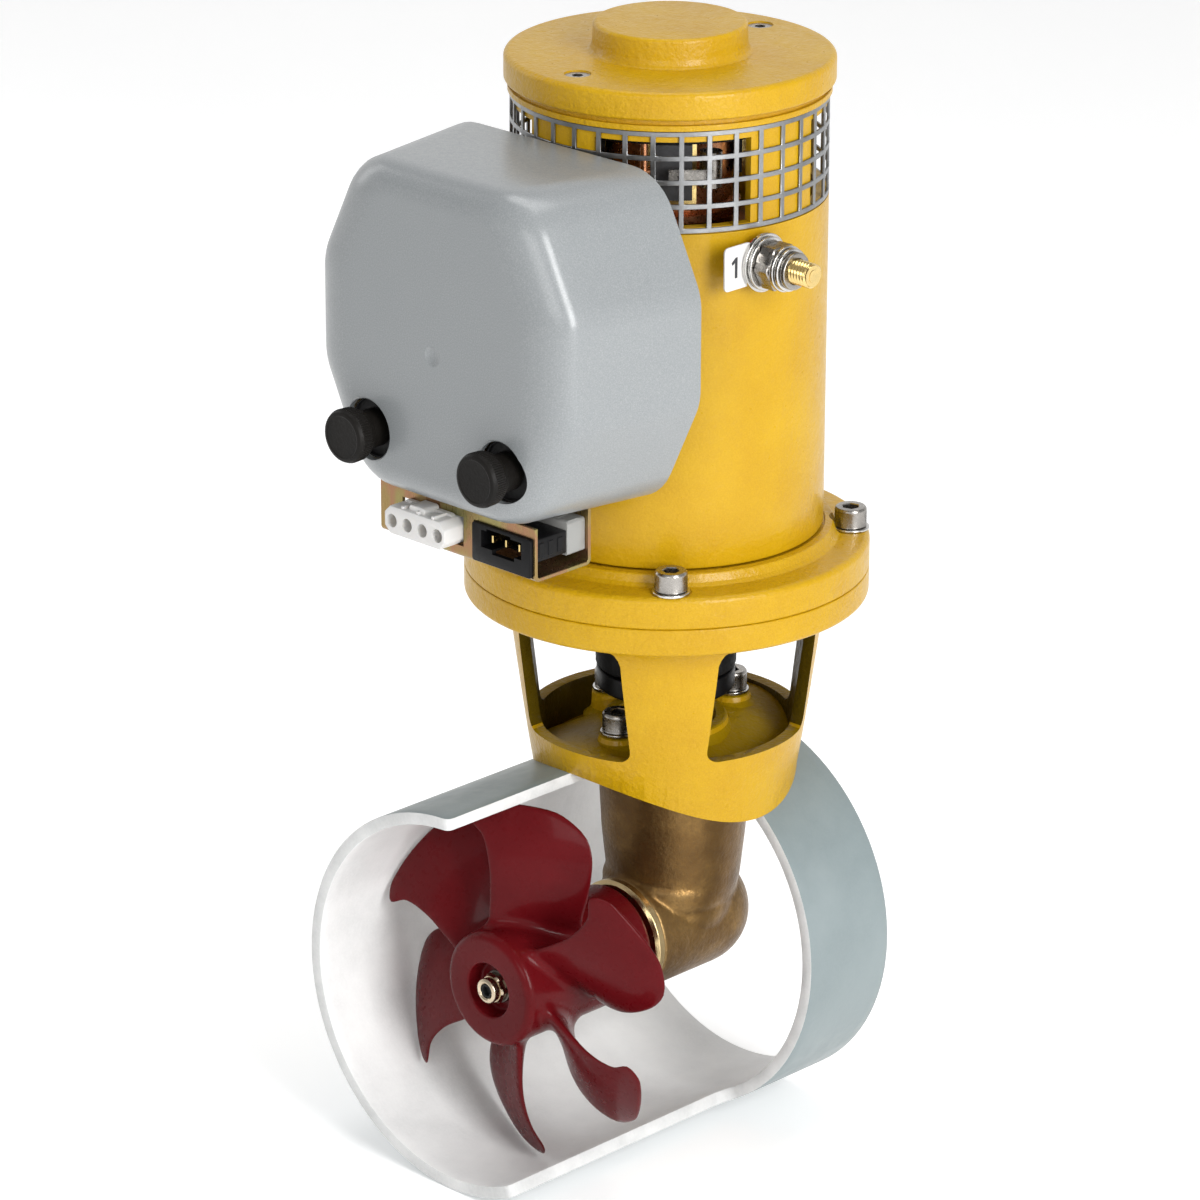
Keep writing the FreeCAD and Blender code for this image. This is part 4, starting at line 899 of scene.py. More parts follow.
# ---------------------------------------------------------------- leg housing
def leg():
    stem = lathe_mesh("l0", [(0, -2), (20, 4), (25.6, 12), (27.2, 19), (28.0, 26), (29.5, 40), (30.6, 60), (31.0, 72), (31.5, 76), (31.5, 84), (0, 84)], 96, pos=(0, 5.3, 0))
    inside = cyl_mesh("l1", 79.8, (0, 100, 0), (0, -100, 0), 180)
    stem = boolean(stem, [inside], "INTERSECT")
    neck = lathe_mesh("l2", [(0, 48), (19.8, 48), (19.8, 87.9), (0, 87.9)], 64)
    pts = [(0, -24.4), (24.0, -24.4)]
    for k in range(0, 13):
        a = rad(7.5 * k)
        pts.append((24.0 * math.cos(a), 15.6 + 24.4 * math.sin(a)))
    pts[-1] = (0, 40.0)
    barrel = lathe_mesh("l3", pts, 96, "y")
    # shoulder blend where the stem runs into the barrel
    blend = []
    for k in range(7):
        t = k / 6.0
        r = 23.6 + 2.2 * t
        s = bpy.data.meshes.new("l4")
        bm = bmesh.new()
        bmesh.ops.create_uvsphere(bm, u_segments=40, v_segments=24, radius=r * MM)
        for v in bm.verts:
            v.co.y = v.co.y * 1.02 + 3.2 * MM
            v.co.z = v.co.z * 0.70 + (2 + 7 * t) * MM
        bm.to_mesh(s)
        bm.free()
        blend.append(s)
    drum = lathe_mesh("l6", [(0, 2), (16, 2), (23.8, 7, 3), (26.7, 14, 5), (27.0, 21, 5), (22.6, 26.4, 3), (0, 28)], 96, pos=(0, 2.2, 0))
    me = cast(join("leg_parts", stem, neck, barrel, drum, *blend), 0.8, 8, 0.5)
    # a machined face follows the true plane at the front
    cut = [cyl_mesh("l5", 20.6, (0, -40, 0), (0, -10, 0), 64)]
    me = boolean(me, cut)
    return link("leg_casting", me, "bronze", "base", "bronze", "leg_housing", 55)


leg()

gear_cap = lathe_mesh("gear_cap_ring", [(12.0, -28.3, 0.3), (22.4, -28.3, 0.6), (23.9, -27.0, 0.4), (23.9, -24.4), (20.4, -24.4), (20.4, -15.6),
                                        (13.0, -15.6), (13.0, -24.0), (12.0, -24.6)], 96, "y")
link("gear_cap_ring", gear_cap, "bronze_bright", "base", "bronze", "gear_cap", 30)


# ------------------------------------------------------------------ propeller
FR = [0.0, 0.25, 0.5, 0.75, 0.9, 1.0]
LEAD = [6.0, 4.4, 3.8, 6.8, 13.2, 13.0]
TRAIL = [20.0, 28.0, 34.5, 37.0, 34.0, 26.0]
HUB_R, TIP_R, FIL = 23.9, 73.4, 4.2


def smooth_table(xs, ys, x):
    k = 0
    while k < len(xs) - 2 and x > xs[k + 1]:
        k += 1
    x0, x1 = xs[k], xs[k + 1]
    t = (x - x0) / (x1 - x0)
    m0 = (ys[k + 1] - ys[k - 1]) / (xs[k + 1] - xs[k - 1]) if k else (ys[1] - ys[0]) / (xs[1] - xs[0])
    m1 = (ys[k + 2] - ys[k]) / (xs[k + 2] - xs[k]) if k + 2 < len(xs) else (ys[-1] - ys[-2]) / (xs[-1] - xs[-2])
    h = x1 - x0
    return ((2 * t ** 3 - 3 * t * t + 1) * ys[k] + (t ** 3 - 2 * t * t + t) * h * m0
            + (-2 * t ** 3 + 3 * t * t) * ys[k + 1] + (t ** 3 - t * t) * h * m1)


def knots3(a, b, c, u):
    return a * (1 - u) * (1 - 2 * u) + 4 * b * u * (1 - u) + c * u * (2 * u - 1)


def blade_mesh():
    """Blade from sections on cylinders about the shaft, with a fillet that flares onto the hub."""
    radii = [20.5, 22.6, 23.4, 23.9, 24.05, 24.3, 24.7, 25.2, 25.9, 26.8, 28.1]
    radii += [28.1 + (TIP_R - 3.4 - 28.1) * k / 26.0 for k in range(1, 27)]
    radii += [TIP_R - 2.6, TIP_R - 1.9, TIP_R - 1.2, TIP_R - 0.6, TIP_R - 0.2, TIP_R]
    nc = 44
    rows = []
    for r in radii:
        u = max(0.0, (r - HUB_R) / (TIP_R - HUB_R))
        le, tr = smooth_table(FR, LEAD, u), smooth_table(FR, TRAIL, u)
        if u > 0.88:                                   # rounded tip corners
            q = (u - 0.88) / 0.12
            c = 1 - math.sqrt(max(0.0, 1 - q * q))
            le, tr = le - 6.0 * c, tr - 7.0 * c
        w = r - HUB_R
        fl = FIL if w <= 0 else (FIL - math.sqrt(max(0.0, FIL * FIL - (FIL - w) ** 2)) if w < FIL else 0.0)
        p2 = knots3(173.0, 152.0, 197.0, u) / TAU
        yref = knots3(-86.0, -89.4, -83.4, u)
        half = (5.6 * (1 - u) ** 1.25 + 1.9) / 2
        if r > TIP_R - 1.0:
            half *= 0.35 + 0.65 * math.sqrt(max(0.0, 1 - ((r - TIP_R + 1.0) / 1.0) ** 2))
        phi = math.atan2(p2, r)
        row = []
        for k in range(nc):
            t = TAU * k / nc
            ct, st = math.cos(t), math.sin(t)
            tau = (le - tr) / 2 - ((le + tr) / 2 + fl * 0.9) * ct
            shape = (abs(st) ** 0.82) * (1 if st >= 0 else -1)
            nrm = (half + fl) * shape
            a = (tau + nrm * math.sin(phi)) / r
            y = yref - p2 * tau / r + nrm * math.cos(phi)
            if r < 31.0:                               # root stays behind the rounded hub edge
                y = max(y, -97.4 - 0.6 * max(0.0, r - 26.0))
            row.append((r * math.cos(a), y, r * math.sin(a)))
        rows.append(row)
    verts = [p for row in rows for p in row]
    nu = len(rows) - 1
    faces = []
    for i in range(nu):
        for k in range(nc):
            k2 = (k + 1) % nc
            faces.append((i * nc + k, i * nc + k2, (i + 1) * nc + k2, (i + 1) * nc + k))
    for base in (0, nu * nc):
        for k in range(0, nc // 2):
            a, b = base + k, base + k + 1
            c, d = base + (nc - k - 1) % nc, base + (nc - k) % nc
            f = []
            for v in (a, b, c, d):
                if v not in f:
                    f.append(v)
            if len(f) > 2:
                faces.append(tuple(f))
    return tidy(mesh_from("blade", verts, faces), 1e-7)


def propeller():
    hub = lathe_mesh("h0", [(6.2, -31.0), (22.6, -31.0, 1.2), (23.9, -33.0, 1.0), (23.9, -101.5, 3.6), (11.4, -101.5, 0.9), (10.5, -94.5, 1.2), (6.2, -94.5)], 144, "y", 6)
    bl = blade_mesh()
    parts = [hub]
    for k in range(6):
        parts.append(turned(bl, -(36.6 + 60 * k), "Y"))
    return link("propeller_wheel", join("propeller_wheel", *parts), "red", "propeller_unit", "red_propeller", "propeller", 50)


propeller()


# ---------------------------------------------------------------- fasteners
def knurl_head(r, h, af, name, knurls=36, seg=72):
    """Socket head, axis Z, base at 0, top at h: knurled side, chamfers, hexagon socket."""
    verts, faces = [], []
    rings = [(r * 0.93, 0.0, 0), (r, 0.35, 0), (r, 0.8, 1), (r, h - 1.7, 1), (r, h - 1.2, 0), (r * 0.985, h - 0.7, 0), (r * 0.90, h, 0), (r * 0.80, h, 0)]
    for rr, z, kn in rings:
        for s in range(seg):
            a = TAU * s / seg
            q = rr - (0.22 if (kn and s % 2) else 0.0)
            verts.append((q * math.cos(a), q * math.sin(a), z))
    R = len(rings)
    for i in range(R - 1):
        for s in range(seg):
            s2 = (s + 1) % seg
            faces.append((i * seg + s, i * seg + s2, (i + 1) * seg + s2, (i + 1) * seg + s))

    def hexr(a, af_):
        return af_ / 2 / math.cos((a % (math.pi / 3)) - math.pi / 6)
    base = len(verts)
    for af_, z in ((af + 0.6, h), (af, h - 0.4), (af, h * 0.42)):
        for s in range(seg):
            a = TAU * s / seg
            q = hexr(a, af_)
            verts.append((q * math.cos(a), q * math.sin(a), z))
    for s in range(seg):
        s2 = (s + 1) % seg
        faces.append(((R - 1) * seg + s, (R - 1) * seg + s2, base + s2, base + s))
        for k in range(2):
            faces.append((base + k * seg + s, base + k * seg + s2, base + (k + 1) * seg + s2, base + (k + 1) * seg + s))
    verts.append((0, 0, h * 0.42 - 1.0))
    c = len(verts) - 1
    for s in range(seg):
        faces.append((base + 2 * seg + s, base + 2 * seg + (s + 1) % seg, c))
    faces.append(tuple(range(seg))[::-1])
    me = mesh_from(name, verts, faces)
    bm = bmesh.new()
    bm.from_mesh(me)
    bmesh.ops.recalc_face_normals(bm, faces=bm.faces)
    bm.to_mesh(me)
    bm.free()
    return me


def washer_mesh(ro, ri, t, z):
    return lathe_mesh("w", [(ri, z, 0.2), (ro, z, 0.4), (ro, z + t, 0.45), (ri, z + t, 0.25)], 56)


def screws(name, spots, top, hr, hh, af, wr, wt, node):
    """Cap screws with a washer, tops at z=top."""
    parts = []
    for i, (x, y) in enumerate(spots):
        base = top - hh
        T = Matrix.Translation(Vector((x, y, base)) * MM) @ Matrix.Rotation(rad(17 + 23 * i), 4, "Z")
        parts.append((moved(knurl_head(hr, hh, af, "sh"), T), 0))
        z = base - wt
        parts.append((moved(washer_mesh(wr, 3.4, wt - 0.05, z), Matrix.Translation(Vector((x, y, 0)) * MM)), 1))
        parts.append((cyl_mesh("ss", 3.2, (x, y, base - 22), (x, y, base + 0.3), 24), 0))
    link(name, join(name, *parts), ["stainless", "washer"], "base", "stainless", node, 28)


c45 = 73.5 * math.cos(rad(45))
screws("flange_bolt_set", [(c45, c45), (c45, -c45), (-c45, c45), (-c45, -c45)], 179.3, 6.45, 8.0, 6.0, 7.6, 1.3, "flange_bolts")
screws("leg_screw_set", [(4.5, -32), (4.5, 34), (-32, 1)], 101.5, 6.45, 7.9, 6.0, 7.3, 1.5, "leg_screws")


# --------------------------------------------------------------- motor casing
def flange():
    prof = [(9.4, 152.0, 0.5), (44.8, 152.0, 0.8), (44.8, 157.1), (80.6, 157.1, 0.3), (81.2, 157.8, 0.3), (81.2, 170.0, 2.6), (69.2, 170.2, 1.6), (67.8, 171.6, 0.5),
            (66.6, 174.9, 0.9), (63.2, 175.1, 0.3), (63.0, 174.6), (57.4, 174.6), (57.4, 179.3), (51, 179.3), (49, 171), (17.5, 169.4), (17.5, 158), (9.4, 158)]
    v, f = lathe(prof, 168, "z", 5)
    me = tidy(mesh_from("f0", v, f))
    spots = []
    for sx in (-1, 1):
        for sy in (-1, 1):
            x, y = c45 * sx, c45 * sy
            spots.append(lathe_mesh("fc", [(0, 169.95), (8.1, 169.95), (8.6, 171.0), (8.6, 180), (0, 180)], 40, pos=(x, y, 0)))
    me = boolean(me, spots)
    link("flange_casting", me, "yellow", "base", "yellow_paint", "motor_flange", 40)


flange()


def tube_wall():
    """Motor tube: plain wall with four ventilation windows near the top."""
    RI, RO, RS = 57.5, 62.5, 61.4
    z_rows = [175.5, 176.2, 200, 230, 260, 290, 311.3, 311.31, 313.8, 330, 347.6, 352.0]
    seg = 180
    verts, faces = [], []

    def ring(r, z):
        b = len(verts)
        for s in range(seg):
            a = TAU * s / seg
            verts.append((r * math.cos(a), r * math.sin(a), z))
        return b
    out = []
    for i, z in enumerate(z_rows):
        r = RS if i >= 7 else (RO - 0.35 if i == 0 else RO)
        out.append(ring(r, z))
    inn = [ring(RI, z) for z in z_rows]

    def open_cell(s, i):
        a = (s + 0.5) * 360.0 / seg
        return i in (8, 9) and any(abs(((a - c + 180) % 360) - 180) < 30 for c in (45, 135, 225, 315))
    nr = len(z_rows)
    for i in range(nr - 1):
        for s in range(seg):
            s2 = (s + 1) % seg
            if open_cell(s, i):
                continue
            faces.append((out[i] + s, out[i] + s2, out[i + 1] + s2, out[i + 1] + s))
            faces.append((inn[i] + s2, inn[i] + s, inn[i + 1] + s, inn[i + 1] + s2))
    for s in range(seg):
        s2 = (s + 1) % seg
        faces.append((out[0] + s2, out[0] + s, inn[0] + s, inn[0] + s2))
        faces.append((out[-1] + s, out[-1] + s2, inn[-1] + s2, inn[-1] + s))
        for i in (8,):
            if open_cell(s, 8):
                faces.append((out[8] + s, out[8] + s2, inn[8] + s2, inn[8] + s))
                faces.append((out[10] + s2, out[10] + s, inn[10] + s, inn[10] + s2))
                prev_open, next_open = open_cell((s - 1) % seg, 8), open_cell((s + 1) % seg, 8)
                for k in (8, 9):
                    if not prev_open:
                        faces.append((out[k] + s, inn[k] + s, inn[k + 1] + s, out[k + 1] + s))
                    if not next_open:
                        faces.append((inn[k] + s2, out[k] + s2, out[k + 1] + s2, inn[k + 1] + s2))
    me = mesh_from("tube", verts, faces)
    me = tidy(me, 1e-6)
    link("motor_tube_shell", me, "yellow_tube", "base", "yellow_paint", "motor_tube", 30)


tube_wall()


def end_cap():
    prof = [(0, 379.3), (30.0, 379.3, 1.6), (30.4, 371.0, 0.5), (31.2, 367.7, 2.6), (64.8, 367.7, 2.4), (64.8, 356.6, 1.2), (62.0, 356.8), (62.0, 354.6), (63.3, 354.5, 0.3), (63.3, 352.2, 0.3), (57.4, 352.2),
            (57.4, 348.4), (55.2, 348.4), (55.2, 359), (17.5, 359), (17.5, 372), (0, 372)]
    v, f = lathe(prof, 168, "z", 5)
    me = tidy(mesh_from("c0", v, f))
    cuts = []
    for s in (-1, 1):
        cuts.append(lathe_mesh("cc", [(0, 340), (2.7, 340), (2.7, 364.6), (5.3, 367.3), (5.3, 375), (0, 375)], 40, pos=(0, 51.2 * s, 0)))
    me = boolean(me, cuts)
    link("end_cap_casting", me, "yellow", "base", "yellow_paint", "end_cap", 40)
    parts = []
    for s in (-1, 1):
        h = lathe_mesh("cs", [(0, 300), (2.4, 300), (2.4, 364.4), (4.9, 366.9, 0.2), (4.9, 367.1), (0, 367.1)], 40)
        hexc = prism_mesh("ch", [(2.3 * math.cos(rad(60 * k)), 2.3 * math.sin(rad(60 * k))) for k in range(6)], 365.2, 370)
        parts.append(turned(boolean(h, [hexc]), 20 + 50 * s, "Z", (0, 51.2 * s, 0)))
    link("cap_screw_pair", join("cap_screw_pair", *parts), "stainless", "base", "stainless", "cap_screws", 28)


end_cap()


def guard():
    """Perforated sheet band: 36 columns by 4 rows of openings, slightly out of true."""
    z0, z1, cols, rows = 311.7, 351.9, 36, 4
    ri, ro = 61.55, 62.45
    strip = 1.95
    zs = []
    pz = (z1 - z0 - strip) / rows
    for q in range(rows):
        zs += [z0 + q * pz, z0 + q * pz + strip]
    zs += [z1 - strip, z1]
    angs, kinds = [], []
    half = math.degrees(strip / 2 / 62)
    for c in range(cols):
        a = -2.2 + 360.0 / cols * c
        angs += [a - half, a + half, a + half + (10 - 2 * half) / 2]
    na, nz = len(angs), len(zs)
    verts = []
    for r in (ro, ri):
        for z in zs:
            for a in angs:
                w = 0.05 * math.sin(rad(a) * 7 + z * 0.11)
                q = r + w
                verts.append((q * math.cos(rad(a)), q * math.sin(rad(a)), z))
    N = na * nz

    def solid(i, j):
        return (i % 3 == 0) or (j % 2 == 0)
    faces = []
    for j in range(nz - 1):
        for i in range(na):
            i2 = (i + 1) % na
            if not solid(i, j):
                continue
            a, b, c, d = j * na + i, j * na + i2, (j + 1) * na + i2, (j + 1) * na + i
            faces.append((a, b, c, d))
            faces.append((N + b, N + a, N + d, N + c))
            if j == 0:
                faces.append((b, a, N + a, N + b))
            elif not solid(i, j - 1):
                faces.append((b, a, N + a, N + b))
            if j == nz - 2 or not solid(i, j + 1):
                faces.append((d, c, N + c, N + d))
            if not solid((i - 1) % na, j):
                faces.append((a, d, N + d, N + a))
            if not solid(i2, j):
                faces.append((c, b, N + b, N + c))
    me = mesh_from("guard", verts, faces)
    bm = bmesh.new()
    bm.from_mesh(me)
    bmesh.ops.recalc_face_normals(bm, faces=bm.faces)
    bm.to_mesh(me)
    bm.free()
    me = bevelled(me, 0.16, 1, 50)
    link("vent_guard", me, "guard", "base", "stainless", "mesh_guard", 35)


guard()


# ---------------------------------------------------------------------- cover
CF, CB = -130.0, -63.5
HF, HB, ZT, ZL = 65.9, 78.1, 342.5, 211.0
CX, CT, CLW = 21.7, 43.9, 45.5


def oct_loop(y, gap, inset, rr, k=7):
    """Rounded octagon outline at y: gap is the wall offset, inset the edge rounding."""
    half = HF + (HB - HF) * (max(y, CF) - CF) / (CB - CF)
    base = [(-half, ZL + CLW), (-half, ZT - CT), (-half + CX, ZT), (half - CX, ZT), (half, ZT - CT), (half, ZL + CLW), (half - CX, ZL), (-half + CX, ZL)]
    ins = gap + inset
    n = 8
    mid = Vector((0, (ZT + ZL) / 2))
    lines = []
    for i in range(n):
        p, q = Vector(base[i]), Vector(base[(i + 1) % n])
        t = (q - p).normalized()
        nn = Vector((t.y, -t.x))
        if (mid - p).dot(nn) < 0:
            nn = -nn
        lines.append((p + nn * (gap + inset * (1 + 0.75 * abs(nn.x))), t))
    pts = []
    for i in range(n):
        (p, a), (q, b) = lines[i - 1], lines[i]
        det = a.x * -b.y + b.x * a.y
        s = ((q.x - p.x) * -b.y + b.x * (q.y - p.y)) / det
        pts.append(p + a * s)
    r = max(rr - ins * 1.2, 5.0)
    out = []
    for i in range(n):
        a, b, c = pts[i - 1], pts[i], pts[(i + 1) % n]
        u, w = (a - b), (c - b)
        lu, lw = u.length, w.length
        u.normalize()
        w.normalize()
        ang = u.angle(w)
        t = min(r / math.tan(ang / 2), 0.47 * lu, 0.47 * lw)
        rr2 = t * math.tan(ang / 2)
        cc = b + (u + w).normalized() * (rr2 / math.sin(ang / 2))
        s0, s1 = b + u * t, b + w * t
        a0 = math.atan2(s0.y - cc.y, s0.x - cc.x)
        a1 = math.atan2(s1.y - cc.y, s1.x - cc.x)
        da = (a1 - a0 + math.pi) % TAU - math.pi
        for j in range(k + 1):
            q = a0 + da * j / k
            out.append((cc.x + rr2 * math.cos(q), y, cc.y + rr2 * math.sin(q)))
        nxt = pts[(i + 1) % n]
        # straight run split in 4 so the wall reads smoothly
        c2, d2 = pts[(i + 1) % n], pts[(i + 2) % n]
        u2, w2 = (b - c2).normalized(), (d2 - c2).normalized()
        ang2 = u2.angle(w2)
        t2 = min(r / math.tan(ang2 / 2), 0.47 * (b - c2).length, 0.47 * (d2 - c2).length)
        e = c2 + u2 * t2
        for j in range(1, 4):
            q = s1.lerp(e, j / 4)
            out.append((q.x, y, q.y))
    return out


def cover():
    RND = 11.0
    loops = []
    # outside, from the back rim forward, round the front edge, then in over the face
    ys = [CB, CB - 0.5] + [CB + (CF + RND - CB) * t for t in (0.08, 0.3, 0.55, 0.8, 1.0)]
    for y in ys:
        loops.append(oct_loop(y, 0, 0.4 if y == CB else 0.0, 23.7))
    for k in range(1, 10):
        al = rad(10.0 * k)
        loops.append(oct_loop(CF + RND * (1 - math.sin(al)), 0, RND * (1 - math.cos(al)), 23.7 + 2))
    face = [oct_loop(CF, 0, RND + 1.5, 25), oct_loop(CF - 0.0, 0, RND + 5, 25)]
    loops += face
    n = len(loops[0])
    verts, faces = [], []
    for lp in loops:
        verts += lp
    for i in range(len(loops) - 1):
        for s in range(n):
            s2 = (s + 1) % n
            faces.append((i * n + s, i * n + s2, (i + 1) * n + s2, (i + 1) * n + s))
    faces.append(tuple((len(loops) - 1) * n + s for s in range(n)))
    # inside
    inner = []
    T = 3.0
    for y in (CB, CB - 0.5):
        inner.append(oct_loop(y, T, -0.4 if y == CB else 0.0, 23.7))
    for y in (CB - 20, CF + RND):
        inner.append(oct_loop(y, T, 0, 23.7))
    for k in range(1, 6):
        al = rad(18.0 * k)
        inner.append(oct_loop(CF + T + (RND - T) * (1 - math.sin(al)), T, (RND - T) * (1 - math.cos(al)), 25.7))
    b0 = len(verts)
    for lp in inner:
        verts += lp
    for i in range(len(inner) - 1):
        for s in range(n):
            s2 = (s + 1) % n
            faces.append((b0 + i * n + s2, b0 + i * n + s, b0 + (i + 1) * n + s, b0 + (i + 1) * n + s2))
    faces.append(tuple(b0 + (len(inner) - 1) * n + s for s in reversed(range(n))))
    for s in range(n):
        s2 = (s + 1) % n
        faces.append((s2, s, b0 + s, b0 + s2))
    me = mesh_from("cover", verts, faces)
    bm = bmesh.new()
    bm.from_mesh(me)
    bmesh.ops.recalc_face_normals(bm, faces=bm.faces)
    bm.to_mesh(me)
    bm.free()
    cuts = []
    for s in (-1, 1):
        cuts.append(lathe_mesh("k0", [(0, CF - 5), (13.0, CF - 5), (13.0, CF - 0.001), (12.3, CF + 0.7), (12.3, CF + 9), (0, CF + 9)], 72, "y", pos=(36.2 * s, 0, 234.5)))
    cuts.append(box_mesh("k1", (-44, -88.9, 207), (44, -50, 219)))
    dim = bpy.data.meshes.new("k2")
    bm = bmesh.new()
    bmesh.ops.create_uvsphere(bm, u_segments=48, v_segments=32, radius=9 * MM)
    for v in bm.verts:
        v.co += Vector((0.6, CF - 8.0, 272.5)) * MM
    bm.to_mesh(dim)
    bm.free()
    cuts.append(dim)
    me = boolean(me, cuts)
    link("cover_moulding", me, "grey", "control_cover", "grey_cover", "cover", 17)
    # black cups behind the two openings: painted shade filling the hollows behind the knobs
    cups = []
    for s in (-1, 1):
        cups.append(lathe_mesh("cup", [(3.4, CF + 8.0), (12.25, CF + 8.0, 0.5), (12.25, CF + 4.4, 0.2), (11.6, CF + 4.4, 0.2), (11.6, CF + 6.6, 0.8), (3.4, CF + 6.6)], 56, "y", pos=(36.2 * s, 0, 234.5)))
    link("cover_cups", join("cover_cups", *cups), "dark", "control_cover", "black_plastic", None, 30)


cover()


def knobs():
    for name, s in (("left", -1), ("right", 1)):
        prof = [(3.2, -124.4, 0.3), (7.6, -124.4, 0.5), (7.6, -133.6, 0.6), (9.4, -134.2, 0.5), (9.7, -136.0, 0.4), (10.6, -136.4, 0.5),
                (10.8, -141.0, 1.5), (9.9, -142.8, 0.9), (8.6, -143.1, 0.5), (8.1, -142.9, 0.4), (0, -143.0), (0, -133.2), (3.2, -133.2, 0.2)]
        me = lathe_mesh("kn", prof, 144, "y", 4, (36.2 * s, 0, 234.5))
        for v in me.vertices:                          # fine straight knurl round the rim
            dx, dz = v.co.x - 36.2 * s * MM, v.co.z - 234.5 * MM
            if math.hypot(dx, dz) > 10.3 * MM and round(math.degrees(math.atan2(dz, dx)) / 2.5) % 2:
                v.co.x -= dx * 0.020
                v.co.z -= dz * 0.020
        link("thumb_nut_" + name, me, "knob", "thumb_nut_" + name, "black_plastic", "knob_" + name, 35)


knobs()


# -------------------------------------------------- bracket sheet, connectors
def oct_rect(x0, x1, z0, z1, c):
    return [(x0 + c, z0), (x1 - c, z0), (x1, z0 + c), (x1, z1 - c), (x1 - c, z1), (x0 + c, z1), (x0, z1 - c), (x0, z0 + c)]


def sheet_bracket():
    t = 1.5
    # folded profile in (y, z): front plate, floor, back plate, bend radius 2.2
    prof_out = [(-117.0, 210.2), (-117.0, 188.5, 2.4), (-86.7, 188.5, 2.4), (-86.7, 326.4), (-88.2, 326.4), (-88.2, 190.0, 0.9), (-115.5, 190.0, 0.9), (-115.5, 210.2)]
    pr = round_profile(prof_out, 5)
    me = prism_mesh("sheet", pr, -42.5, 42.5, 0.18, 1, "yz")
    cuts = [box_mesh("s0", (9.3, -121, 189.95), (41.5, -112, 206.0)),
            box_mesh("s1", (-30.2, -121, 193.4), (3.6, -112, 205.4))]
    for x in (-22, 22):
        for z in (222, 312):
            cuts.append(cyl_mesh("s2", 2.6, (x, -95, z), (x, -80, z), 24))
    for s in (-1, 1):
        cuts.append(cyl_mesh("s3", 3.1, (36.2 * s, -95, 234.5), (36.2 * s, -80, 234.5), 24))
    me = boolean(me, cuts)
    link("connector_plate", me, "zinc", "base", "yellow_zinc", "relay_bracket", 30)


sheet_bracket()


def connectors():
    # white four-way receptacle: chamfered shroud, four round ways, latch ramp
    body = prism_mesh("w0", oct_rect(-29.9, 3.3, 193.7, 205.1, 3.0), -127.0, -113.1, 0.5, 2, "xz")
    ridge = prism_mesh("w1", oct_rect(-17.8, -9.2, 203.5, 207.5, 0.9), -125.4, -117.3, 0.3, 1, "xz")
    ledge = prism_mesh("w2", oct_rect(-28.8, 2.2, 192.9, 206.0, 3.4), -119.6, -117.1, 0.3, 1, "xz")
    cuts = []
    for k in range(4):
        x = -25.8 + 8.35 * k
        cuts.append(cyl_mesh("w3", 2.75, (x, -130, 199.2), (x, -118.5, 199.2), 28))
    cuts.append(box_mesh("w4", (-30.5, -128, 205.0), (-21, -120.5, 209)))
    me = boolean(join("w5", body), cuts)
    pins = []
    for k in range(4):
        x = -25.8 + 8.35 * k
        pins.append((cyl_mesh("w6", 1.0, (x, -123.5, 199.2), (x, -118.4, 199.2), 20, 0.3), 1))
    ribs = [box_mesh("w7", (-21.0 + 8.35 * k, -126.6, 205.0), (-19.6 + 8.35 * k, -119, 206.3), 0.2, 1) for k in range(3)]
    link("socket_white", join("socket_white", (me, 0), (ridge, 0), (ledge, 0), *[(r, 0) for r in ribs], *pins), ["white", "brass"], "base", "white_nylon", "white_connector", 30)
    # black flanged three-way inlet
    fl = prism_mesh("k0", oct_rect(9.5, 41.3, 190.1, 205.9, 0.8), -118.4, -116.2, 0.35, 2, "xz")
    bd = box_mesh("k1", (10.1, -116.4, 195.7), (40.9, -98.5, 204.9), 0.5, 2)
    cuts = [box_mesh("k2", (14.6, -120, 196.6), (36.4, -107, 203.6)), box_mesh("k3", (17.5, -120, 203.0), (30.5, -110, 204.5)), box_mesh("k4", (20.5, -120, 194.9), (32.5, -110, 197.2))]
    fl = boolean(fl, [c.copy() for c in cuts])
    bd = boolean(bd, cuts)
    side = [box_mesh("k5", (38.5, -113.5 + 5 * k, 197.2), (41.25, -110.7 + 5 * k, 203.2), 0.25, 1) for k in range(3)]
    link("inlet_black", join("inlet_black", fl, bd, *side), "black", "base", "black_plastic", "black_connector", 30)
    bl = [box_mesh("p%d" % k, (18.2 + 7.2 * k, -116.2, 198.6), (19.0 + 7.2 * k, -107.5, 201.6), 0.15, 1) for k in range(3)]
    link("inlet_blades", join("inlet_blades", *bl), "brass", "base", "stud_brass", "connector_pins", 30)
    tb = [prism_mesh("t0", oct_rect(17.2, 40.9, 194.1, 207.8, 0.8), -98.1, -88.3, 0.4, 2, "xz")]
    tb += [box_mesh("t1", (19.6 + 5.6 * k, -97.0, 206.8), (23.4 + 5.6 * k, -91.0, 207.95), 0.2, 1) for k in range(4)]
    link("block_clear", join("block_clear", *tb), "clear", "base", "clear_plastic", "terminal_block", 30)


connectors()


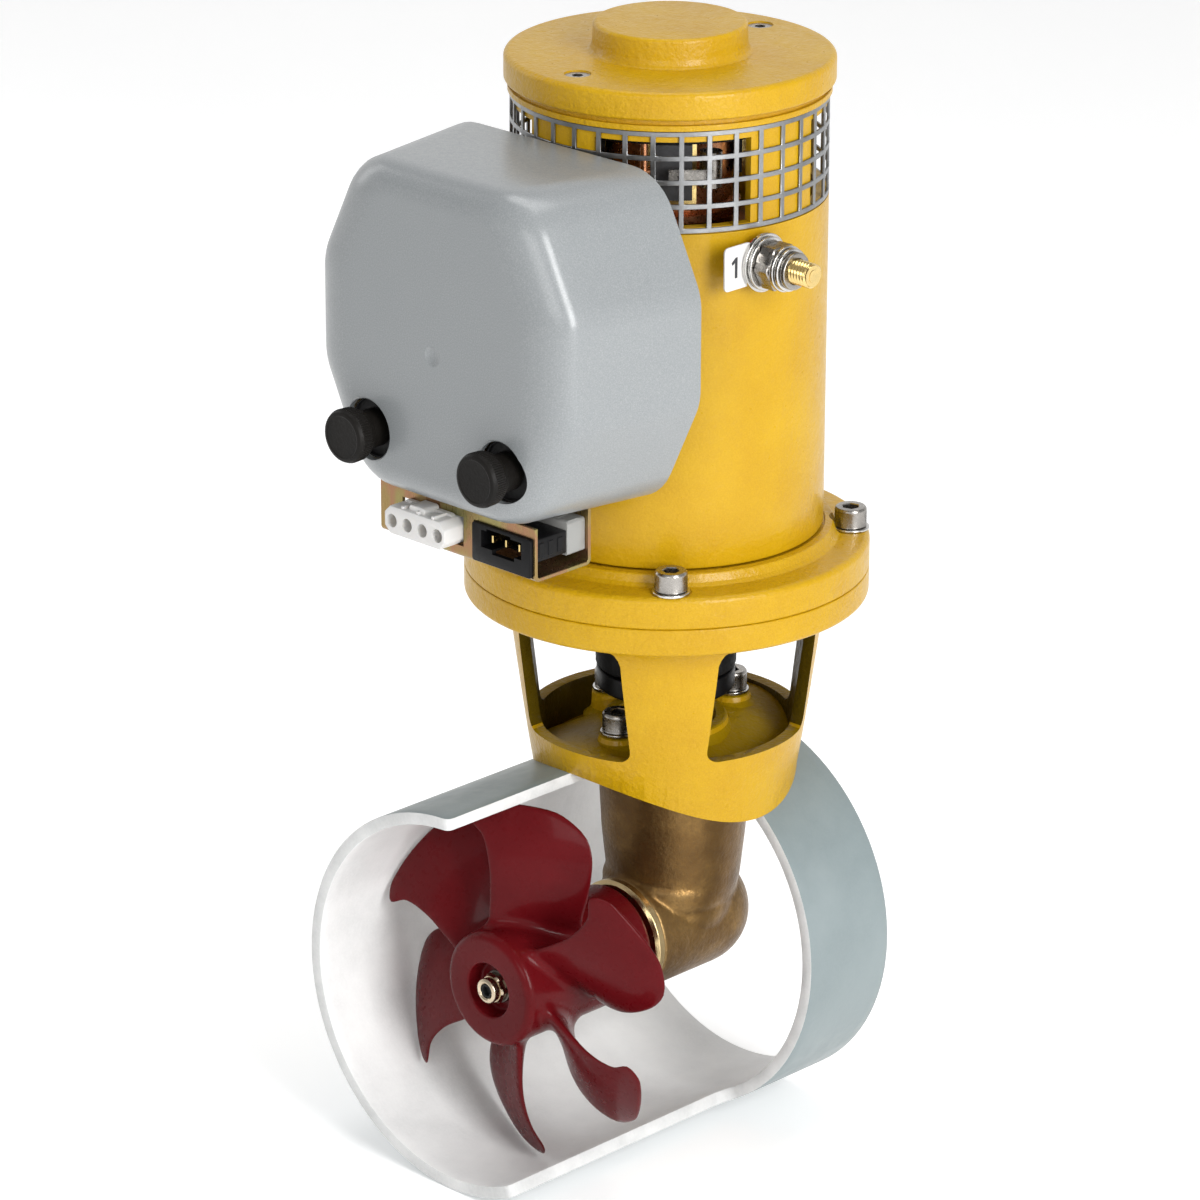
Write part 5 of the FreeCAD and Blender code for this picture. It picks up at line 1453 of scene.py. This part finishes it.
# ------------------------------------------------------------------ terminals
def thread_rod(r, x0, x1, pitch, depth, seg=40):
    """Threaded rod along +X with a helical groove."""
    n = int((x1 - x0) / pitch * 6)
    verts, faces = [], []
    for i in range(n + 1):
        x = x0 + (x1 - x0) * i / n
        fade = min(1.0, (x1 - x) / 1.2)
        for s in range(seg):
            a = TAU * s / seg
            ph = ((x / pitch) - a / TAU) % 1.0
            tri = abs(2 * ph - 1)
            q = (r - depth * tri) * (0.90 + 0.10 * fade)
            verts.append((x, q * math.cos(a), q * math.sin(a)))
    for i in range(n):
        for s in range(seg):
            s2 = (s + 1) % seg
            faces.append((i * seg + s, i * seg + s2, (i + 1) * seg + s2, (i + 1) * seg + s))
    faces.append(tuple(range(seg))[::-1])
    faces.append(tuple(n * seg + s for s in range(seg)))
    me = mesh_from("thread", verts, faces)
    bm = bmesh.new()
    bm.from_mesh(me)
    bmesh.ops.recalc_face_normals(bm, faces=bm.faces)
    bm.to_mesh(me)
    bm.free()
    return me


def ring_x(ro, ri, x0, x1, bev=0.3, seg=56):
    v, f = lathe([(ri, x0, bev * 0.6), (ro, x0, bev), (ro, x1, bev), (ri, x1, bev * 0.6)], seg)
    v = [(z, x, y) for x, y, z in v]
    return tidy(mesh_from("rx", v, f))


def hexnut_x(af, ri, x0, x1):
    """Hexagon nut along X with turned chamfers."""
    seg = 72
    verts, faces = [], []
    ch = 0.7

    def hr(a):
        return af / 2 / math.cos((a % (math.pi / 3)) - math.pi / 6)
    rows = [(ri, x0, 0), (af / 2 * 0.97, x0, 0), (None, x0 + ch, 1), (None, x1 - ch, 1), (af / 2 * 0.97, x1, 0), (ri + 0.5, x1, 0), (ri, x1 - 0.5, 0)]
    for r, x, k in rows:
        for s in range(seg):
            a = TAU * s / seg
            if k:
                q = min(hr(a), af / 2 * 1.135)
            else:
                q = r
            verts.append((x, q * math.cos(a), q * math.sin(a)))
    R = len(rows)
    for i in range(R):
        i2 = (i + 1) % R
        for s in range(seg):
            s2 = (s + 1) % seg
            faces.append((i * seg + s, i * seg + s2, i2 * seg + s2, i2 * seg + s))
    return tidy(mesh_from("nut", verts, faces))


def terminals():
    y, z = -16.0, 299.0
    studs, nuts, bush = [], [], []
    for sx in (1, -1):
        T = Matrix.Translation(Vector((0, y, z)) * MM)
        if sx < 0:
            T = T @ Matrix.Rotation(math.pi, 4, "Z")
        studs.append(moved(join("st", thread_rod(5.0, 58, 91.4, 1.5, 0.55), cyl_mesh("sc", 2.6, (91.2, 0, 0), (91.6, 0, 0), 24)), T))
        nuts.append((moved(ring_x(11.6, 5.1, 64.8, 66.6, 0.35), T), 1))
        nuts.append((moved(ring_x(10.6, 5.1, 66.8, 68.4, 0.5), T), 1))
        nuts.append((moved(hexnut_x(17.0, 5.05, 68.6, 76.1), T), 0))
        nuts.append((moved(ring_x(9.1, 5.1, 76.4, 78.1, 0.35), T), 1))
        nuts.append((moved(ring_x(8.5, 5.1, 78.4, 80.2, 0.5), T), 1))
        nuts.append((moved(ring_x(7.4, 5.1, 80.4, 82.6, 0.5), T), 0))
        me = lathe_mesh("ins", [(5.05, 57.2), (6.4, 57.2), (6.4, 61.6), (9.3, 61.6, 0.4), (9.3, 63.5, 0.6), (5.05, 63.5)], 56)
        R = Matrix(((0, 0, 1, 0), (1, 0, 0, 0), (0, 1, 0, 0), (0, 0, 0, 1)))
        bush.append(moved(moved(me, R), T))
    link("stud_pair", join("stud_pair", *studs), "brass", "base", "stud_brass", "terminal_studs", 40)
    link("terminal_stack", join("terminal_stack", *nuts), ["stainless", "washer"], "base", "stainless", "terminal_nuts", 30)
    link("stud_insulators", join("stud_insulators", *bush), "redp", "base", "red_plastic", "terminal_insulators", 30)
    # tag: rounded plate with a hole, a plain numeral raised on it
    pts = round_profile([(-36.8, 291.0, 2.0), (-24.0, 291.0, 6.0), (-15.2, 293.6, 3), (-15.2, 305.4, 3), (-24.0, 308.4, 3), (-36.8, 308.4, 2.0)], 5)
    plate = prism_mesh("tg", pts, 63.75, 64.6, 0.15, 1, "yz")
    plate = boolean(plate, [cyl_mesh("th", 5.2, (60, -16, 299), (70, -16, 299), 40)])
    one = prism_mesh("t1", [(-31.3, 295.7), (-29.9, 295.7), (-29.9, 303.9), (-30.9, 303.9), (-33.2, 302.1), (-32.6, 301.0), (-31.3, 301.9)], 64.55, 64.68, 0, 1, "yz")
    link("terminal_plate", join("terminal_plate", (plate, 0), (one, 1)), ["white", "ink"], "base", "white_nylon", "terminal_tag", 30)


terminals()


# ------------------------------------------------------- coupling, shaft line
def coupling():
    lobes = 8
    prof_lo = [(6.05, 103.6), (14, 103.6, 0.5), (28.0, 103.6, 1.6), (28.0, 112.4, 0.6), (14, 112.4), (14, 119.4), (6.05, 119.4)]
    link("coupling_hub_lower", lathe_mesh("cl", prof_lo, 96), "black", "armature", "black_plastic", "coupling_lower", 30)
    prof_up = [(7.55, 130.1), (14, 130.1), (14, 138.1), (28.0, 138.1, 0.6), (28.0, 146.9, 1.2), (7.55, 146.9)]
    link("coupling_hub_upper", lathe_mesh("cu", prof_up, 96), "black", "armature", "black_plastic", "coupling_upper", 30)
    seg = 192
    verts, faces = [], []
    rows = [(15.0, 112.6), (26.6, 112.6), (27.9, 113.4), (28.5, 114.6), (28.5, 120.0), (28.1, 121.0), (28.1, 129.5), (28.5, 130.5), (28.5, 136.0), (27.9, 137.2), (26.6, 137.9), (15.0, 137.9)]
    for r, z in rows:
        for s in range(seg):
            a = TAU * s / seg
            q = r
            if r > 20:
                g = math.cos(a * lobes)
                q = r - 1.1 * max(0.0, g - 0.72) / 0.28
            verts.append((q * math.cos(a), q * math.sin(a), z))
    R = len(rows)
    for i in range(R):
        i2 = (i + 1) % R
        for s in range(seg):
            s2 = (s + 1) % seg
            faces.append((i * seg + s, i * seg + s2, i2 * seg + s2, i2 * seg + s))
    link("coupling_element", tidy(mesh_from("ce", verts, faces)), "rubber", "armature", "black_rubber", "coupling_spider", 30)


coupling()


# propeller nut with washer and thread end
def prop_nut():
    def to_y(me):
        return moved(me, Matrix(((0, 1, 0, 0), (-1, 0, 0, 0), (0, 0, 1, 0), (0, 0, 0, 1))))
    nut = to_y(hexnut_x(11.2, 3.65, 96.2, 99.6))
    head = lathe_mesh("ph", [(0, 98.2), (4.9, 98.2), (5.15, 99.2, 0.3), (5.15, 102.6, 0.7), (3.9, 103.2, 0.4), (3.1, 102.6, 0.2), (2.9, 99.4), (0, 99.0)], 56)
    R = Matrix(((0, 0, 1, 0), (1, 0, 0, 0), (0, 1, 0, 0), (0, 0, 0, 1)))
    head = to_y(moved(head, R))
    # a black hexagon in the socket: painted shade for the socket's depth
    well = to_y(moved(lathe_mesh("pw", [(0, 99.0), (3.05, 99.0), (3.05, 102.5, 0.1), (2.4, 102.5, 0.1), (2.4, 100.2), (0, 100.2)], 6), R))
    wash = to_y(ring_x(6.8, 3.7, 94.6, 96.1, 0.4))
    shaft = lathe_mesh("ps", [(0, 26.4), (5.4, 26.4), (6.0, 25.8), (6.0, -92.0), (3.6, -93.2), (3.6, -98.3), (0, -98.3)], 64, "y")
    shaft = boolean(shaft, [cyl_mesh("pp", 2.4, (-15, -36.2, 0), (15, -36.2, 0), 32)])
    link("propeller_shaft_turned", shaft, "steel", "propeller_unit", "steel", "propeller_shaft", 30)
    link("prop_nut_set", join("prop_nut_set", (nut, 0), (head, 0), (well, 2), (wash, 1)), ["nickel", "stainless_dark", "dark"], "propeller_unit", "stainless", "propeller_nut", 30)


prop_nut()


# ------------------------------------------- materials of the carried CAD nodes
CAD_MATS = {
    "input_bearings": "steel", "shaft_seals": "rubber", "propeller_bearings": "steel", "pole_shoes": "lams", "field_coils": "winding",
    "motor_bearings": "steel", "brush_ring": "black", "brush_boxes": "brass", "brush_springs": "stainless", "brush_leads": "copper",
    "bracket_spacers": "stainless", "knob_studs": "stainless", "relay_cases": "stainless", "relay_coils": "winding", "relay_contacts": "brass",
    "busbars": "copper", "armature_core": "lams", "armature_windings": "winding", "commutator": "copper", "armature_shaft": "steel",
    "input_shaft": "steel", "pinion": "steel", "drive_pin": "steel", "propeller_shaft": "steel", "crown_gear": "steel",
    "brush_1": "carbon", "brush_2": "carbon", "brush_3": "carbon", "brush_4": "carbon", "relay_plunger_1": "steel", "relay_plunger_2": "steel",
}
for n, o in frame["nodes"].items():
    if o.hide_render:
        continue
    key = CAD_MATS.get(n, "steel")
    o.data.materials.clear()
    o.data.materials.append(M[key])


# --------------------------------------------------------------- floor, light
def stage():
    fl = bpy.data.meshes.new("floor")
    s = 12.0
    z = -0.0805
    # floor sweeping up into a backdrop away from the camera
    d = -Vector((back.x, back.y, 0)).normalized()
    e = Vector((-d.y, d.x, 0))
    rows = []
    for k in range(25):
        t = k / 24.0
        if t < 0.4:
            u, h = -9.0 + 12.5 * t / 0.4, 0.0
        else:
            q = (t - 0.4) / 0.6 * math.pi / 2
            u, h = 3.5 + 2.0 * math.sin(q), 2.0 * (1 - math.cos(q))
        rows.append((u, h))
    rows.append((5.5, 6.0))
    verts, faces = [], []
    for u, h in rows:
        for w in (-s, s):
            p = d * u + e * w
            verts.append((p.x, p.y, z + h))
    for i in range(len(rows) - 1):
        faces.append((2 * i, 2 * i + 1, 2 * i + 3, 2 * i + 2))
    fl.from_pydata(verts, [], faces)
    for p in fl.polygons:
        p.use_smooth = True
    o = bpy.data.objects.new("floor", fl)
    scene.collection.objects.link(o)
    mt, nt, b = mat_new("floor_pale")
    v = coords(nt)
    col = ramp(nt, tex_noise(nt, v, 3, 2), [(0.3, (0.86, 0.86, 0.86)), (0.7, (0.88, 0.88, 0.88))])
    nt.links.new(col, b.inputs["Base Color"])
    b.inputs["Roughness"].default_value = 0.85
    b.inputs["Specular IOR Level"].default_value = 0.15
    b.inputs["Emission Color"].default_value = (1, 1, 1, 1)
    b.inputs["Emission Strength"].default_value = 0.30
    fl.materials.append(mt)
    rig.stage(o)


stage()

world = bpy.data.worlds.new("studio")
scene.world = world
world.use_nodes = True
bg = world.node_tree.nodes["Background"]
# a soft studio dome: pale at the horizon so the floor runs into it, quieter overhead
wt = world.node_tree
wc = wt.nodes.new("ShaderNodeTexCoord")
ws = wt.nodes.new("ShaderNodeSeparateXYZ")
wt.links.new(wc.outputs["Generated"], ws.inputs[0])
wr = wt.nodes.new("ShaderNodeValToRGB")
wr.color_ramp.elements[0].position = 0.06
wr.color_ramp.elements[0].color = (0.90, 0.90, 0.90, 1)
wr.color_ramp.elements[1].position = 0.30
wr.color_ramp.elements[1].color = (0.38, 0.38, 0.38, 1)
wt.links.new(ws.outputs["Z"], wr.inputs["Fac"])
wt.links.new(wr.outputs["Color"], bg.inputs["Color"])
bg.inputs["Strength"].default_value = 1.0


def area(name, loc, size, power, color=(1, 1, 1), aim=(0, 0, 0.14)):
    ld = bpy.data.lights.new(name, "AREA")
    ld.shape = "RECTANGLE"
    ld.size, ld.size_y = size
    ld.energy = power
    ld.color = color
    lo = bpy.data.objects.new(name, ld)
    scene.collection.objects.link(lo)
    lo.location = loc
    dirv = Vector(aim) - Vector(loc)
    lo.rotation_euler = dirv.to_track_quat("-Z", "Y").to_euler()
    return lo


def place(u, v, w):
    """A point from the camera's side: u right, v up, w towards the camera."""
    return tuple(Vector((0, 0, 0.14)) + right * u + Vector((0, 0, 1)) * v + Vector((back.x, back.y, 0)).normalized() * w)


area("key", (2.0, -0.46, 0.92), (0.8, 1.3), 43)
area("fill", place(-0.55, 0.62, 1.7), (0.9, 0.6), 5.5, (1, 1, 1), (0, -0.06, -0.05))
area("top", place(0.1, 2.0, -0.2), (1.4, 1.0), 16)
area("rim_left", place(-1.5, 0.8, -0.9), (0.5, 1.4), 4)

scene.view_settings.view_transform = "Standard"
scene.view_settings.look = "None"
scene.view_settings.exposure = 0.0

bpy.context.view_layer.update()


def plain(b):
    return [[float(c) for c in v] for v in b]


try:
    json.dump({"cad": plain(CAD_BOX), "visual": plain(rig.bounds())}, open("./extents.json", "w"))
except TypeError:
    json.dump({"cad": str(CAD_BOX), "visual": str(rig.bounds())}, open("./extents.json", "w"))
